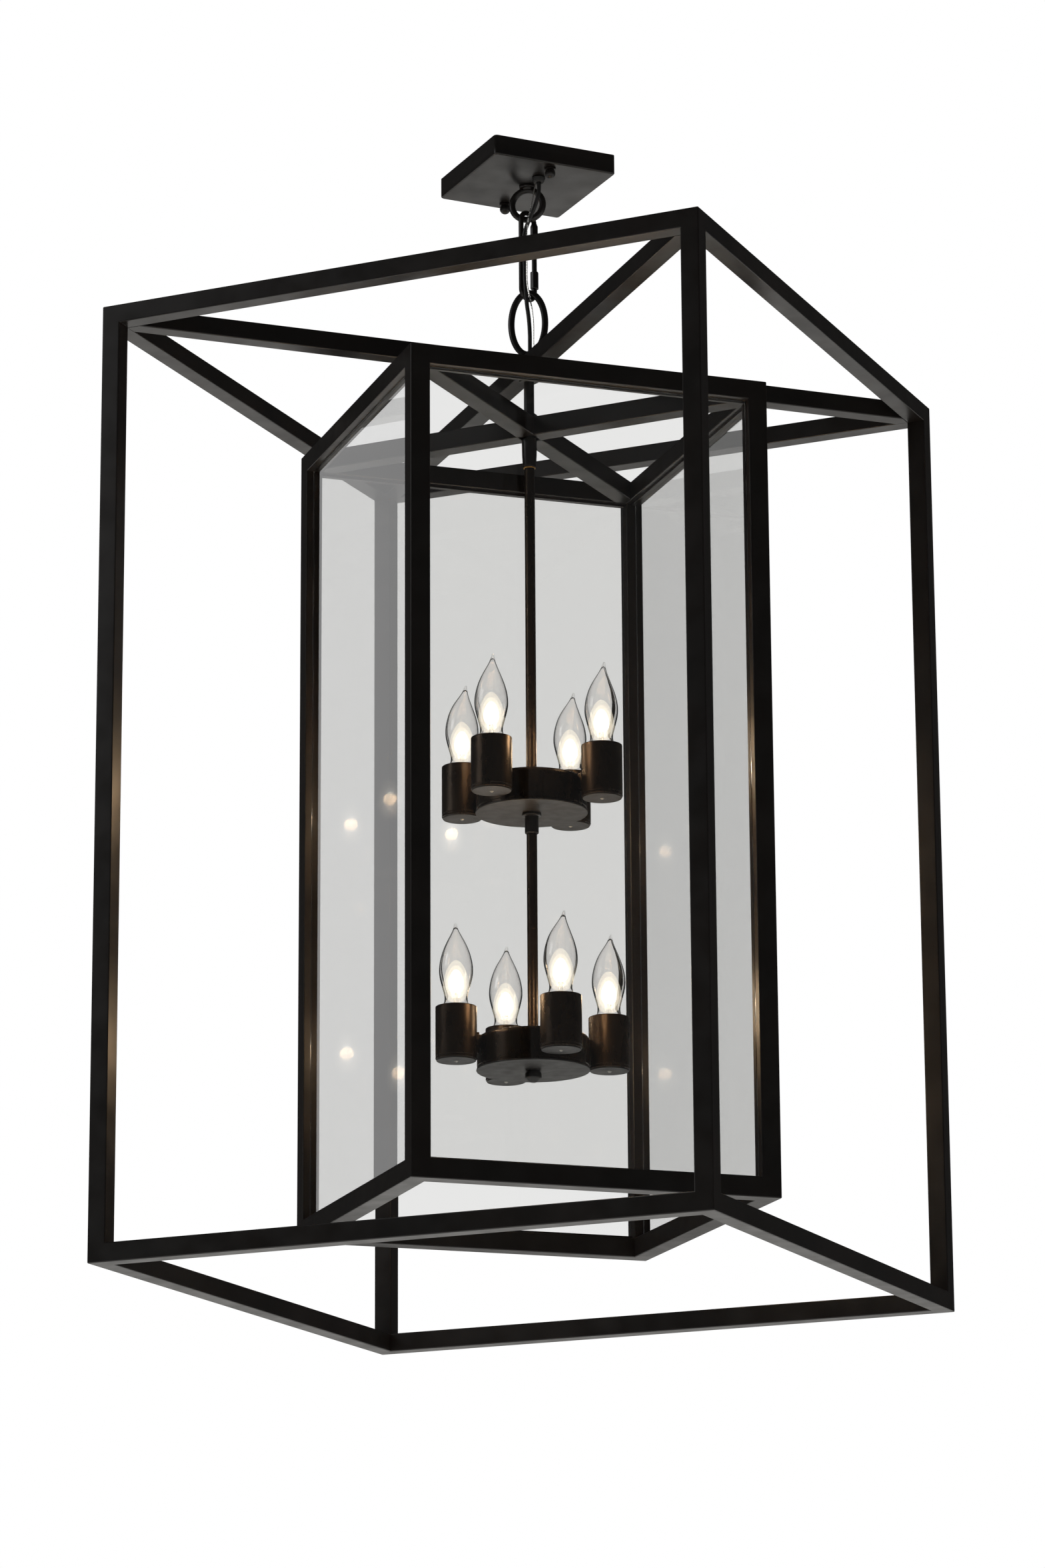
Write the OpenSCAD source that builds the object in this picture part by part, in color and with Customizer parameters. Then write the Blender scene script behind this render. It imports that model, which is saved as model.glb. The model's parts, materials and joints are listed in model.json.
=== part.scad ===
// Hanging lantern: an open square cage of steel tube hangs from a square canopy by a
// ring, a quick link and an oval loop. A smaller glazed box frame turns on the stem
// inside the cage, around two clusters of four candle lamps each.
// The origin is the centre of the canopy's ceiling plane, +Z up. X and Y run along
// the cage's sides, and everything hangs below the origin.

/* [Canopy] */
// Side of the square canopy pan
canopy_w = 130; // [110:1:150]
// Depth of the canopy pan below the ceiling
canopy_h = 20; // [18:1:30]
// Turn of the canopy about the vertical axis, against the cage
canopy_turn = 49.5; // [0:0.5:90]
// Distance between the two canopy studs
stud_pitch = 104; // [100:1:104]
// Distance between the two outlet box screws
box_pitch = 88.9; // [84:0.1:89]

/* [Chain] */
// Distance from the canopy's underside to the cage's top
hang_gap = 180; // [176:1:184]
// Outer diameter of the canopy ring
ring_od = 37; // [36:0.5:39]
// Wire diameter of the ring and of the oval loop
ring_wire = 6.4; // [6:0.1:7]
// Outer width of the quick link
link_w = 24; // [23:0.5:26]
// Wire diameter of the quick link
link_wire = 5; // [4.5:0.1:5.2]
// Outer width of the oval loop
loop_w = 40; // [38:1:44]
// Outer height of the oval loop
loop_h = 70; // [68:1:72]
// Turn of the ring and of the oval loop about the vertical axis
ring_turn = 14; // [10:1:18]
// Turn of the quick link about the vertical axis
link_turn = 72; // [68:1:80]

/* [Cage] */
// Outer width of the cage
cage_w = 609.6; // [560:0.1:660]
// Outer height of the cage
cage_h = 914.4; // [900:0.1:960]
// Side of the cage's square tube
cage_tube = 18; // [16:0.5:19]
// Wall of the square tubes
tube_wall = 1.2; // [1:0.1:1.6]

/* [Glazed frame] */
// Outer width of the glazed frame
frame_w = 355.6; // [340:0.1:365]
// Outer height of the glazed frame
frame_h = 787.4; // [770:0.1:800]
// Side of the glazed frame's square tube
frame_tube = 19; // [18:0.5:20]
// Turn of the glazed frame about the stem, against the cage
frame_turn = 43.4; // [40:0.1:50]
// Thickness of the glass
glass_t = 3; // [3:0.5:4]
// Distance from the frame's outer face to the glass
glass_inset = 7; // [5:0.5:9]

/* [Stem and lamps] */
// Outer diameter of the stem and the rods
rod_d = 10; // [9.5:0.1:10]
// Diameter of the drum in each cluster
drum_d = 106; // [100:1:108]
// Height of each drum, cover included
drum_h = 33; // [30:1:36]
// Distance from the cage's top to the underside of the upper drum
upper_drop = 458.5; // [440:0.5:470]
// Distance between the two drums
drum_pitch = 250; // [240:1:260]
// Outer diameter of a lamp cup
cup_d = 39; // [38:0.5:40]
// Height of a lamp cup, bottom plate included
cup_h = 52; // [50:1:58]
// Radius of the circle on which the cups stand
cup_circle = 76.5; // [76:0.5:80]
// Largest diameter of a lamp's glass
lamp_d = 32; // [30:0.5:34]
// Height of a lamp above its cup
lamp_rise = 81; // [70:1:90]
// Direction of the upper cluster's first cup
upper_turn = 84.8; // [80:0.1:90]
// Direction of the lower cluster's first cup
lower_turn = 134; // [130:0.5:140]

/* [Hidden] */
$fn = 64;
slip = 0.05;                       // radial clearance of a turning fit
gap = 0.8;                         // play where two links hang in each other
sheet_t = 1.2;                     // pressed steel sheet

canopy_z = -canopy_h;              // the canopy's underside
cage_z = canopy_z - hang_gap;      // the cage's top
frame_z = cage_z - (cage_h - frame_h) / 2;
upper_z = cage_z - upper_drop;     // the upper drum's underside
lower_z = upper_z - drum_pitch;

collar_h = 2.5;                    // flange at the ring's foot
stud_r = 2;
box_hole_r = 2.4;                  // holes for the outlet box screws
bar_w = 22;                        // mounting bar
bar_t = 2.5;
nipple_r = 5;                      // hollow threaded pipe at the ring's foot
bushing_at = 26;                   // from the centre to the cord bushing
bushing_r = 5;

ring_r = (ring_od - ring_wire) / 2;
ring_z = canopy_z - collar_h - ring_r - ring_wire / 2 + 1.5;
ring_foot = ring_z - ring_r;
link_r = (link_w - link_wire) / 2;
link_top = ring_foot + (ring_wire + link_wire) / 2 + gap;
loop_a = (loop_w - ring_wire) / 2;
loop_b = (loop_h - ring_wire) / 2;
loop_rings = 48;
loop_seat_r = 6.2;                 // foot on which the oval loop stands
loop_seat_h = 1.5;
loop_z = cage_z + loop_h / 2 + loop_seat_h;
link_foot = loop_z + loop_b - (ring_wire + link_wire) / 2 - gap;
sleeve_r = 4.1;
sleeve_h = 18;
sleeve_z = link_foot + 13;         // the sleeve's lower end
link_gap_h = 8;                    // mouth of the link, inside the sleeve
link_boss_h = 32;                  // thicker shank above the mouth

stem_foot = frame_z - frame_tube - 7.2;
bell_z = frame_z - frame_tube - 0.3;
bell_h = 29;
bell_top_r = 7.4;
bell_foot_r = 6.4;
rod_bore = 2.8;                    // wireway through the rods
seat_t = 1.4;                      // brass seat ring under the bell
rod_top = bell_z - bell_h - seat_t;
cover_t = 1.6;
drum_round = 5;
neck_h = 20;
neck_r = 6.7;
rod_collar_h = 4.5;
plate_t = 1.4;
cup_lift = 4.5;                    // from the drum's underside to the cup's
socket_r = 11;
socket_h = 34;
socket_bore = 6.6;
lamp_base_r = 6;
lamp_foot = 20;                    // from the cup's underside to the lamp's base

bead_h = 2.2;                      // glazing bead, its height and depth
bead_d = 4;
bead_gap = 0.2;                    // between a bead and its pane
entry_x = -5.5;                    // where the cord goes into the cage's cross
entry_y = 8.5;
cord_d = 4;
wire_d = 1.2;

// The supply cord's route, from the canopy's bushing to the cage's bushing.
CORD = [
    [-20, 17, -19], [-20, 17, -33], [-18.5, 17, -41], [-15, 16.5, -50],
    [-10, 16, -60], [-5.5, 15.5, -69], [-2.5, 15, -79], [-1.5, 14, -89],
    [-2, 13.5, -99], [-2.5, 13, -109], [-2.5, 13, -119], [-3, 13, -129],
    [-3.5, 12.5, -139], [-4, 11.5, -149], [-5, 10.5, -159], [-5.5, 9.5, -169],
    [-5.5, 8.5, -179], [-5.5, 8.5, -189], [-5.5, 8.5, -199]
];
// The bare ground wire's route, beside the cord.
GROUND = [
    [-17.3, 18.3, -25.6], [-16, 19.5, -34], [-14.5, 20, -43], [-12.5, 20, -52],
    [-9.5, 19, -61], [-7.5, 18, -70], [-6.5, 17, -80], [-6, 16.5, -90],
    [-6, 15.5, -100], [-6, 15.5, -110], [-6, 15.5, -120], [-6.5, 15.5, -130],
    [-8, 15, -140], [-9.5, 13.5, -150], [-10.5, 12.5, -160], [-11, 12, -170],
    [-11, 12, -180], [-11, 12, -190], [-11.5, 12.5, -200]
];

// ---- shared shapes ----

module up(z) { translate([0, 0, z]) children(); }

// A disc or pipe with its foot at z = 0
module ring_of(r, h, bore = 0) {
    difference() {
        cylinder(r = r, h = h);
        if (bore > 0) up(-1) cylinder(r = bore, h = h + 2);
    }
}

// A hexagonal nut on the Z axis
module hex_nut(across, h, bore) {
    difference() {
        cylinder(d = across / cos(30), h = h, $fn = 6);
        up(-1) cylinder(r = bore, h = h + 2);
    }
}

// Square tube along +Z, open at both ends
module post_tube(side, length) {
    inner = side - 2 * tube_wall;
    difference() {
        translate([-side / 2, -side / 2, 0]) cube([side, side, length]);
        translate([-inner / 2, -inner / 2, -1]) cube([inner, inner, length + 2]);
    }
}

// Square tube along X, centred, with its top face at z = 0
module rail_tube(side, length) {
    up(-side / 2) rotate([0, 90, 0]) up(-length / 2) post_tube(side, length);
}

module post_at(n, w, side, h) {
    a = (w - side) / 2;
    rotate([0, 0, 90 * n]) translate([a, a, sheet_t - h]) post_tube(side, h - 2 * sheet_t);
}

module rail_square(w, side) {
    for (n = [0 : 3]) rotate([0, 0, 90 * n])
        translate([0, (w - side) / 2, 0]) rail_tube(side, w - 2 * side);
}

module end_caps(w, side, h) {
    a = (w - side) / 2;
    for (n = [0 : 3]) rotate([0, 0, 90 * n])
        for (z = [-sheet_t, -h])
            translate([a - side / 2, a - side / 2, z]) cube([side, side, sheet_t]);
}

// Bars from corner to corner, coped to the rails: one whole bar and two halves
module cross_bars(w, side, bore) {
    room = w - 2 * side;
    long = room * sqrt(2);
    difference() {
        intersection() {
            union() {
                rotate([0, 0, 135]) rail_tube(side, long);
                for (s = [0, 180]) rotate([0, 0, 45 + s])
                    translate([(long + side) / 4, 0, 0]) rail_tube(side, (long - side) / 2);
            }
            translate([-room / 2, -room / 2, -side]) cube([room, room, side]);
        }
        up(-side - 1) cylinder(r = bore, h = side + 2);
    }
}

module each_cup(cluster = [0, 1]) {
    for (c = cluster) for (n = [0 : 3])
        up((c == 0 ? upper_z : lower_z) + cup_lift)
            rotate([0, 0, (c == 0 ? upper_turn : lower_turn) + 90 * n])
                translate([cup_circle, 0, 0]) children();
}

// Swept tube along a list of points
function unit(v) = v / norm(v);
function heading(p, i) =
    i == 0 ? unit(p[1] - p[0])
    : i == len(p) - 1 ? unit(p[i] - p[i - 1])
    : unit(unit(p[i] - p[i - 1]) + unit(p[i + 1] - p[i]));
function ring_points(p, i, r, sides) =
    let (t = heading(p, i), a = unit(cross(t, [1, 0, 0])), b = cross(t, a))
    [for (k = [0 : sides - 1]) p[i] + r * (cos(360 * k / sides) * a + sin(360 * k / sides) * b)];
module sweep(p, r, sides) {
    points = [for (i = [0 : len(p) - 1]) each ring_points(p, i, r, sides)];
    last = (len(p) - 1) * sides;
    walls = [for (i = [0 : len(p) - 2]) for (k = [0 : sides - 1])
        [i * sides + k, (i + 1) * sides + k,
         (i + 1) * sides + (k + 1) % sides, i * sides + (k + 1) % sides]];
    foot = [for (k = [0 : sides - 1]) k];
    head = [for (k = [sides - 1 : -1 : 0]) last + k];
    polyhedron(points, concat(walls, [foot, head]), convexity = 6);
}

// Swept ring along a closed list of points in the XZ plane
module closed_sweep(p, r, sides) {
    n = len(p);
    points = [for (i = [0 : n - 1])
        let (t = unit(p[(i + 1) % n] - p[(i + n - 1) % n]), a = [0, 1, 0], b = cross(t, a))
        for (k = [0 : sides - 1])
            p[i] + r * (cos(360 * k / sides) * a + sin(360 * k / sides) * b)];
    walls = [for (i = [0 : n - 1]) for (k = [0 : sides - 1])
        [i * sides + k, (i + 1) % n * sides + k,
         (i + 1) % n * sides + (k + 1) % sides, i * sides + (k + 1) % sides]];
    polyhedron(points, walls, convexity = 6);
}

// ---- canopy ----

module canopy_pan() {
    w = canopy_w - 2 * sheet_t;
    color("#1c1b1a") rotate([0, 0, canopy_turn]) difference() {
        translate([-canopy_w / 2, -canopy_w / 2, canopy_z]) cube([canopy_w, canopy_w, canopy_h]);
        translate([-w / 2, -w / 2, canopy_z + sheet_t]) cube([w, w, canopy_h]);
        up(canopy_z - 1) cylinder(r = nipple_r + slip, h = sheet_t + 2);
        for (y = [-stud_pitch / 2, stud_pitch / 2])
            translate([0, y, canopy_z - 1]) cylinder(r = stud_r + 0.3, h = sheet_t + 2);
        translate([0, bushing_at, canopy_z - 1]) cylinder(r = bushing_r, h = sheet_t + 2);
    }
}

module mounting_bar() {
    length = stud_pitch + 14;
    color("#b9b6ad") rotate([0, 0, canopy_turn]) difference() {
        translate([-bar_w / 2, -length / 2, -bar_t]) cube([bar_w, length, bar_t]);
        up(-bar_t - 1) cylinder(r = nipple_r + slip, h = bar_t + 2);
        for (s = [-1, 1]) {
            translate([0, s * stud_pitch / 2, -bar_t - 1]) cylinder(r = stud_r, h = bar_t + 2);
            translate([0, s * box_pitch / 2, -bar_t - 1]) cylinder(r = box_hole_r, h = bar_t + 2);
        }
    }
}

module canopy_studs() {
    color("#a9a59a") rotate([0, 0, canopy_turn])
        for (y = [-stud_pitch / 2, stud_pitch / 2])
            translate([0, y, canopy_z - 4]) cylinder(r = stud_r, h = -canopy_z + 4);
}

module ball_nuts() {
    color("#171615") rotate([0, 0, canopy_turn])
        for (y = [-stud_pitch / 2, stud_pitch / 2])
            translate([0, y, canopy_z]) difference() {
                union() {
                    up(-1.6) cylinder(r = 5.6, h = 1.6);
                    up(-5.2) sphere(r = 5.2);
                }
                up(-4) cylinder(r = stud_r, h = 10);
                cylinder(r = 8, h = 8);
            }
}

module canopy_ring() {
    color("#161514") rotate([0, 0, ring_turn]) difference() {
        union() {
            up(ring_z) rotate([90, 0, 0])
                rotate_extrude($fn = 96) translate([ring_r, 0]) circle(d = ring_wire);
            up(canopy_z - collar_h) cylinder(r = 8, h = collar_h);
            up(canopy_z - 1) cylinder(r = nipple_r, h = -canopy_z + 0.5);
        }
        up(canopy_z + 1) cylinder(r = 3.4, h = canopy_h);
    }
}

module ring_locknuts() {
    color("#b9a15f") for (z = [canopy_z + sheet_t, -bar_t - 4]) up(z) hex_nut(16, 4, nipple_r);
}

module cord_bushing() {
    color("#101010") rotate([0, 0, canopy_turn]) translate([0, bushing_at, 0]) difference() {
        union() {
            up(canopy_z - 5.5) cylinder(r1 = 4.6, r2 = 6.5, h = 5.5);
            up(canopy_z) cylinder(r = bushing_r, h = 6);
        }
        up(canopy_z - 7) cylinder(r = cord_d / 2 + 0.5, h = 14);
    }
}

module wire_nuts() {
    color("#c9742a") rotate([0, 0, canopy_turn]) for (y = [-34, -22, -46])
        translate([34, y + 30, canopy_z + sheet_t + 5.2]) rotate([0, -90, 0])
            cylinder(r1 = 5, r2 = 3.4, h = 16);
}

// ---- quick link ----

module link_end(r, wire) {
    rotate([90, 0, 0]) rotate_extrude(angle = 180, $fn = 96) translate([r, 0]) circle(d = wire);
}

module quick_link() {
    top = link_top - link_r;
    foot = link_foot + link_r;
    mouth = sleeve_z + 5;
    color("#191817") rotate([0, 0, link_turn]) {
        up(top) link_end(link_r, link_wire);
        up(foot) mirror([0, 0, 1]) link_end(link_r, link_wire);
        translate([link_r, 0, foot]) cylinder(d = link_wire, h = top - foot);
        translate([-link_r, 0, foot]) cylinder(d = link_wire, h = mouth - foot);
        translate([-link_r, 0, mouth + link_gap_h])
            cylinder(d = link_wire, h = top - mouth - link_gap_h);
        translate([-link_r, 0, top - link_boss_h]) cylinder(r = 3.7, h = link_boss_h);
    }
}

module link_sleeve() {
    color("#191817") rotate([0, 0, link_turn]) translate([-link_r, 0, sleeve_z])
        hex_nut(2 * sleeve_r * cos(30) + 0.6, sleeve_h, link_wire / 2 + slip);
}

// ---- cage ----

module oval_loop() {
    path = [for (i = [0 : loop_rings - 1]) let (t = 360 * i / loop_rings)
        [loop_a * cos(t), 0, loop_z + loop_b * sin(t)]];
    color("#161514") rotate([0, 0, ring_turn]) closed_sweep(path, ring_wire / 2, 16);
}

module stem() {
    color("#141312") up(stem_foot) ring_of(rod_d / 2, cage_z + 1 - stem_foot, rod_bore);
}

module stem_nuts() {
    color("#141312") {
        up(cage_z) difference() {
            cylinder(r = loop_seat_r, h = loop_seat_h);
            up(-1) cylinder(r = rod_d / 2, h = 2);
        }
        up(cage_z - cage_tube - 1.4) ring_of(12, 1.4, rod_d / 2);
        up(cage_z - cage_tube - 6.4) hex_nut(17, 5, rod_d / 2);
        up(frame_z + 0.3) ring_of(9, 1.4, rod_d / 2);
        up(frame_z + 1.7) hex_nut(14, 4, rod_d / 2);
    }
}

module cage_post(n) {
    color("#161514") up(cage_z) post_at(n, cage_w, cage_tube, cage_h);
}
module cage_post_1() { cage_post(0); }
module cage_post_2() { cage_post(1); }
module cage_post_3() { cage_post(2); }
module cage_post_4() { cage_post(3); }

module cage_top_rails() { color("#161514") up(cage_z) rail_square(cage_w, cage_tube); }

module cage_bottom_rails() {
    color("#161514") up(cage_z - cage_h + cage_tube) rail_square(cage_w, cage_tube);
}

module cage_cross() {
    color("#161514") difference() {
        up(cage_z) cross_bars(cage_w, cage_tube, rod_d / 2);
        translate([entry_x, entry_y, cage_z - 3]) cylinder(r = 3, h = 6);
    }
}

module cage_end_caps() { color("#161514") up(cage_z) end_caps(cage_w, cage_tube, cage_h); }

module cage_bushing() {
    color("#101010") translate([entry_x, entry_y, cage_z]) difference() {
        union() {
            up(-2) cylinder(r = 3, h = 3);
            cylinder(r1 = 3.8, r2 = 3.2, h = 4);
        }
        up(-3) cylinder(r = cord_d / 2 + 0.1, h = 8);
    }
}

module supply_cord() { color("#0d0d0d") sweep(CORD, cord_d / 2, 10); }

module ground_wire() { color("#c8c4ba") sweep(GROUND, wire_d / 2, 8); }

// ---- stem and clusters ----

module bell_coupling() {
    color("#151413") difference() {
        up(bell_z - bell_h) cylinder(r1 = bell_foot_r, r2 = bell_top_r, h = bell_h);
        up(stem_foot) cylinder(r = rod_d / 2, h = 30);
        up(bell_z - bell_h - 1) cylinder(r = rod_bore, h = bell_h + 2);
    }
}

module bell_seat_ring() {
    color("#8a6a3c") up(rod_top) ring_of(6.1, seat_t, rod_bore);
}

module rod(top, foot) {
    color("#1a1715") up(foot) ring_of(rod_d / 2, top - foot, rod_bore);
}

module upper_rod() { rod(rod_top, upper_z + drum_h); }

module lower_rod() { rod(upper_z - neck_h, lower_z + drum_h); }

module rod_collars() {
    color("#2a221c") for (z = [upper_z, lower_z])
        up(z + drum_h) ring_of(5.9, rod_collar_h, rod_d / 2);
}

// Threaded pipes that clamp each drum and its cover between the rods
module drum_nipples() {
    color("#a9a59a") for (z = [upper_z, lower_z])
        up(z + cover_t) ring_of(4.6, drum_h - cover_t - sheet_t, rod_bore);
}

module drum(z) {
    r = drum_d / 2;
    t = sheet_t;
    h = drum_h - cover_t;
    color("#1b1714") up(z + cover_t) rotate_extrude($fn = 128) difference() {
        union() {
            square([r - drum_round, h]);
            square([r, h - drum_round]);
            translate([r - drum_round, h - drum_round]) circle(r = drum_round);
        }
        translate([-1, -1]) square([r - drum_round + 1, h + 1 - t]);
        translate([-1, -1]) square([r - t + 1, h + 1 - drum_round]);
        translate([r - drum_round, h - drum_round]) circle(r = drum_round - t);
        square([rod_bore, h + 1]);
    }
}

module upper_drum() { drum(upper_z); }
module lower_drum() { drum(lower_z); }

module drum_cover(z) {
    color("#2a2826") up(z) ring_of(drum_d / 2 + 0.6, cover_t, rod_bore);
}

module upper_drum_cover() { drum_cover(upper_z); }
module lower_drum_cover() { drum_cover(lower_z); }

module middle_neck() {
    color("#171513") up(upper_z) rotate_extrude($fn = 64) polygon([
        [rod_bore, 0], [9.3, 0], [9.3, -2.6], [neck_r, -3.4], [neck_r - 0.5, -neck_h + 1],
        [neck_r - 1.2, -neck_h], [rod_bore, -neck_h]
    ]);
}

module finial() {
    color("#121110") up(lower_z) rotate_extrude($fn = 64) {
        polygon([[0, 0], [6.4, 0], [7.9, -2.4], [7.9, -6], [5.6, -9.6], [2.4, -11], [0, -11]]);
    }
}

// A short block from the drum to the cup, with a flat tab against the cup
module cup_arms() {
    color("#181513") each_cup() difference() {
        union() {
            translate([-cup_circle + drum_d / 2 - 4, -5, 12]) cube([12, 10, 14]);
            translate([-cup_d / 2 - 2, -4, 8.5]) cube([4, 8, 20]);
        }
        translate([0, 0, -1]) cylinder(d = cup_d, h = 60, $fn = 96);
        translate([-cup_circle, 0, -1]) cylinder(d = drum_d, h = 60, $fn = 128);
    }
}

module cup_shell() {
    r = cup_d / 2;
    t = sheet_t;
    rotate_extrude($fn = 96) polygon([
        [r - 2.2, plate_t], [r - 0.7, plate_t + 0.5], [r, plate_t + 2], [r, cup_h],
        [r - t, cup_h], [r - t, plate_t + 2.2], [r - 2.2, plate_t + 1.6]
    ]);
}

module upper_cups() { color("#1d1814") each_cup([0]) cup_shell(); }
module lower_cups() { color("#1d1814") each_cup([1]) cup_shell(); }

module cup_plates() {
    color("#32302e") each_cup() ring_of(cup_d / 2 - 0.9, plate_t, 1.4);
}

module cup_screws() {
    color("#3a3836") each_cup() {
        up(-1) cylinder(r = 1.9, h = 1);
        cylinder(r = 1.4, h = plate_t + 4);
    }
}

module lamp_sockets() {
    color("#e4ddd0") each_cup() difference() {
        up(plate_t) cylinder(r = socket_r, h = socket_h);
        up(lamp_foot - 8) cylinder(r = socket_bore, h = socket_h);
        cylinder(r = 1.4, h = plate_t + 4);
    }
}

module lamp(k) {
    c = k < 4 ? 0 : 1;
    top = cup_h + lamp_rise;
    neck = plate_t + socket_h + 1;
    belly = neck + 44;
    color([1, 0.86, 0.6, 0.6]) up((c == 0 ? upper_z : lower_z) + cup_lift)
        rotate([0, 0, (c == 0 ? upper_turn : lower_turn) + 90 * (k % 4)])
            translate([cup_circle, 0, 0]) rotate_extrude($fn = 48) polygon([
                [0, lamp_foot], [3, lamp_foot], [lamp_base_r, lamp_foot + 3],
                [lamp_base_r, neck], [10, neck + 2], [11, neck + 16],
                [lamp_d / 2 - 1.4, neck + 32], [lamp_d / 2, belly], [lamp_d / 2 - 1.6, belly + 11],
                [lamp_d / 2 - 5.6, belly + 24], [5.4, belly + 35], [2.6, top - 6], [1.2, top], [0, top]
            ]);
}
module lamp_1() { lamp(0); }
module lamp_2() { lamp(1); }
module lamp_3() { lamp(2); }
module lamp_4() { lamp(3); }
module lamp_5() { lamp(4); }
module lamp_6() { lamp(5); }
module lamp_7() { lamp(6); }
module lamp_8() { lamp(7); }

// ---- glazed frame ----

module turned() { up(frame_z) rotate([0, 0, frame_turn]) children(); }

module frame_posts() {
    color("#171615") turned() for (n = [0 : 3]) post_at(n, frame_w, frame_tube, frame_h);
}

module frame_top_rails() { color("#171615") turned() rail_square(frame_w, frame_tube); }

module frame_bottom_rails() {
    color("#171615") turned() up(frame_tube - frame_h) rail_square(frame_w, frame_tube);
}

module frame_cross() {
    color("#171615") turned() cross_bars(frame_w, frame_tube, rod_d / 2 + slip);
}

module frame_end_caps() { color("#171615") turned() end_caps(frame_w, frame_tube, frame_h); }

pane_w = frame_w - 2 * frame_tube - 1;
pane_h = frame_h - 2 * frame_tube - 1;

module glass_pane(n) {
    color([0.85, 0.88, 0.88, 0.35]) turned() rotate([0, 0, 90 * n])
        translate([-pane_w / 2, frame_w / 2 - glass_inset - glass_t, -(frame_h + pane_h) / 2])
            cube([pane_w, glass_t, pane_h]);
}
module glass_pane_1() { glass_pane(0); }
module glass_pane_2() { glass_pane(1); }
module glass_pane_3() { glass_pane(2); }
module glass_pane_4() { glass_pane(3); }

// Beads along the top and foot of each pane, which hold the glass from inside
module glazing_beads() {
    y = frame_w / 2 - glass_inset - glass_t - bead_gap;
    half = frame_w / 2 - frame_tube - 0.5;
    color("#171615") turned() for (n = [0 : 3]) rotate([0, 0, 90 * n])
        for (z = [-frame_tube - bead_h, frame_tube - frame_h])
            translate([-half, y - bead_d, z]) cube([2 * half, bead_d, bead_h]);
}

canopy_pan();
mounting_bar();
canopy_studs();
ball_nuts();
canopy_ring();
ring_locknuts();
cord_bushing();
wire_nuts();
quick_link();
link_sleeve();
oval_loop();
stem();
stem_nuts();
cage_post_1();
cage_post_2();
cage_post_3();
cage_post_4();
cage_top_rails();
cage_bottom_rails();
cage_cross();
cage_end_caps();
cage_bushing();
supply_cord();
ground_wire();
bell_coupling();
bell_seat_ring();
upper_rod();
rod_collars();
drum_nipples();
upper_drum();
upper_drum_cover();
middle_neck();
lower_rod();
lower_drum();
lower_drum_cover();
finial();
cup_arms();
upper_cups();
lower_cups();
cup_plates();
cup_screws();
lamp_sockets();
lamp_1();
lamp_2();
lamp_3();
lamp_4();
lamp_5();
lamp_6();
lamp_7();
lamp_8();
frame_posts();
frame_top_rails();
frame_bottom_rails();
frame_cross();
frame_end_caps();
glass_pane_1();
glass_pane_2();
glass_pane_3();
glass_pane_4();
glazing_beads();
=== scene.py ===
"""Hanging lantern: the visible pieces, their finishes and a plain studio.

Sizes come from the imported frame, from the two property groups and from the outlines below.
Lengths are metres, and a number times MM is one given in millimetres. Plain millimetres are
used for the outlines of lathe(), for what heights() and outer_radius() return, for the sizes
that washer() and hexagon() take, and where a constant's comment says so.
"""
import json
import math

import bmesh
import bpy
from mathutils import Matrix, Vector


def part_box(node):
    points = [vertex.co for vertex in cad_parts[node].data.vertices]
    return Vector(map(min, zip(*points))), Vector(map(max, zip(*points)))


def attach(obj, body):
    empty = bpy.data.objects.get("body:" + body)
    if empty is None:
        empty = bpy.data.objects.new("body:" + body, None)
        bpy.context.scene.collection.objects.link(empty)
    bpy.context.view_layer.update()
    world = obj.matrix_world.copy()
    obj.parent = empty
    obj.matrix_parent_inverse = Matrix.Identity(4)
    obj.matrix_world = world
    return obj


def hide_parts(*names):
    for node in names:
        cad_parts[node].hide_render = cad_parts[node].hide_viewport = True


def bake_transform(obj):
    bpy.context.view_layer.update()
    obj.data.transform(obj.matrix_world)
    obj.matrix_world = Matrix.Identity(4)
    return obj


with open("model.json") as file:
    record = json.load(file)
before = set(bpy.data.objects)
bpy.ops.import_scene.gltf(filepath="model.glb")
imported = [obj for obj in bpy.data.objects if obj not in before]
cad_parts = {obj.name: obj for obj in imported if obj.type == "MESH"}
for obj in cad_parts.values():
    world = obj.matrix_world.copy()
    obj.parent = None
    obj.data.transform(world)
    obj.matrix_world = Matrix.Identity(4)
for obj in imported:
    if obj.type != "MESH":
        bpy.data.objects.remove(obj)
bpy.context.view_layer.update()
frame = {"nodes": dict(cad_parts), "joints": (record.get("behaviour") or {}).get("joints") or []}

bl_info = {
    "name": "Hanging Lantern",
    "version": (1, 0, 0),
    "blender": (4, 5, 0),
    "location": "3D View > Sidebar > Lantern",
    "description": "Builds the visible pieces of a caged, glazed hanging lantern",
    "category": "Add Mesh",
}

MM = 0.001
AXIS_Z = Vector((0, 0, 1))
HEADING = -65.755  # the camera's heading in degrees from +X
CUP_RADIUS = 19.5  # millimetres
BORE = 2.8  # of the rods, necks and drums, in millimetres
CUP_LIFT = 4.5  # millimetres, of a cup's foot above the drum's cover
LAMP_CENTRE = 24 * MM  # of a lamp's light above its cup's rim
FLOOR_Z = -2.5
ALL_LAMPS = [f"lamp_{n}" for n in range(1, 9)]
CLUSTERS = {"upper": ALL_LAMPS[:4], "lower": ALL_LAMPS[4:]}


# ---- places and sizes read from the frame ----

def low(node):
    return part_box(node)[0]


def high(node):
    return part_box(node)[1]


def middle(node):
    return (low(node) + high(node)) / 2


def outer_radius(node):
    """Radius in millimetres of a round node that stands on the lantern's axis."""
    return (high(node).x - low(node).x) / 2 / MM


def heights(node):
    """Foot and top of a node, in millimetres."""
    return low(node).z / MM, high(node).z / MM


def bearing(vector):
    """Direction of a vector seen from above, as an angle from +X."""
    return math.atan2(vector[1], vector[0])


def joint(name):
    return next(j for j in frame["joints"] if j["name"] == name)


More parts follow.
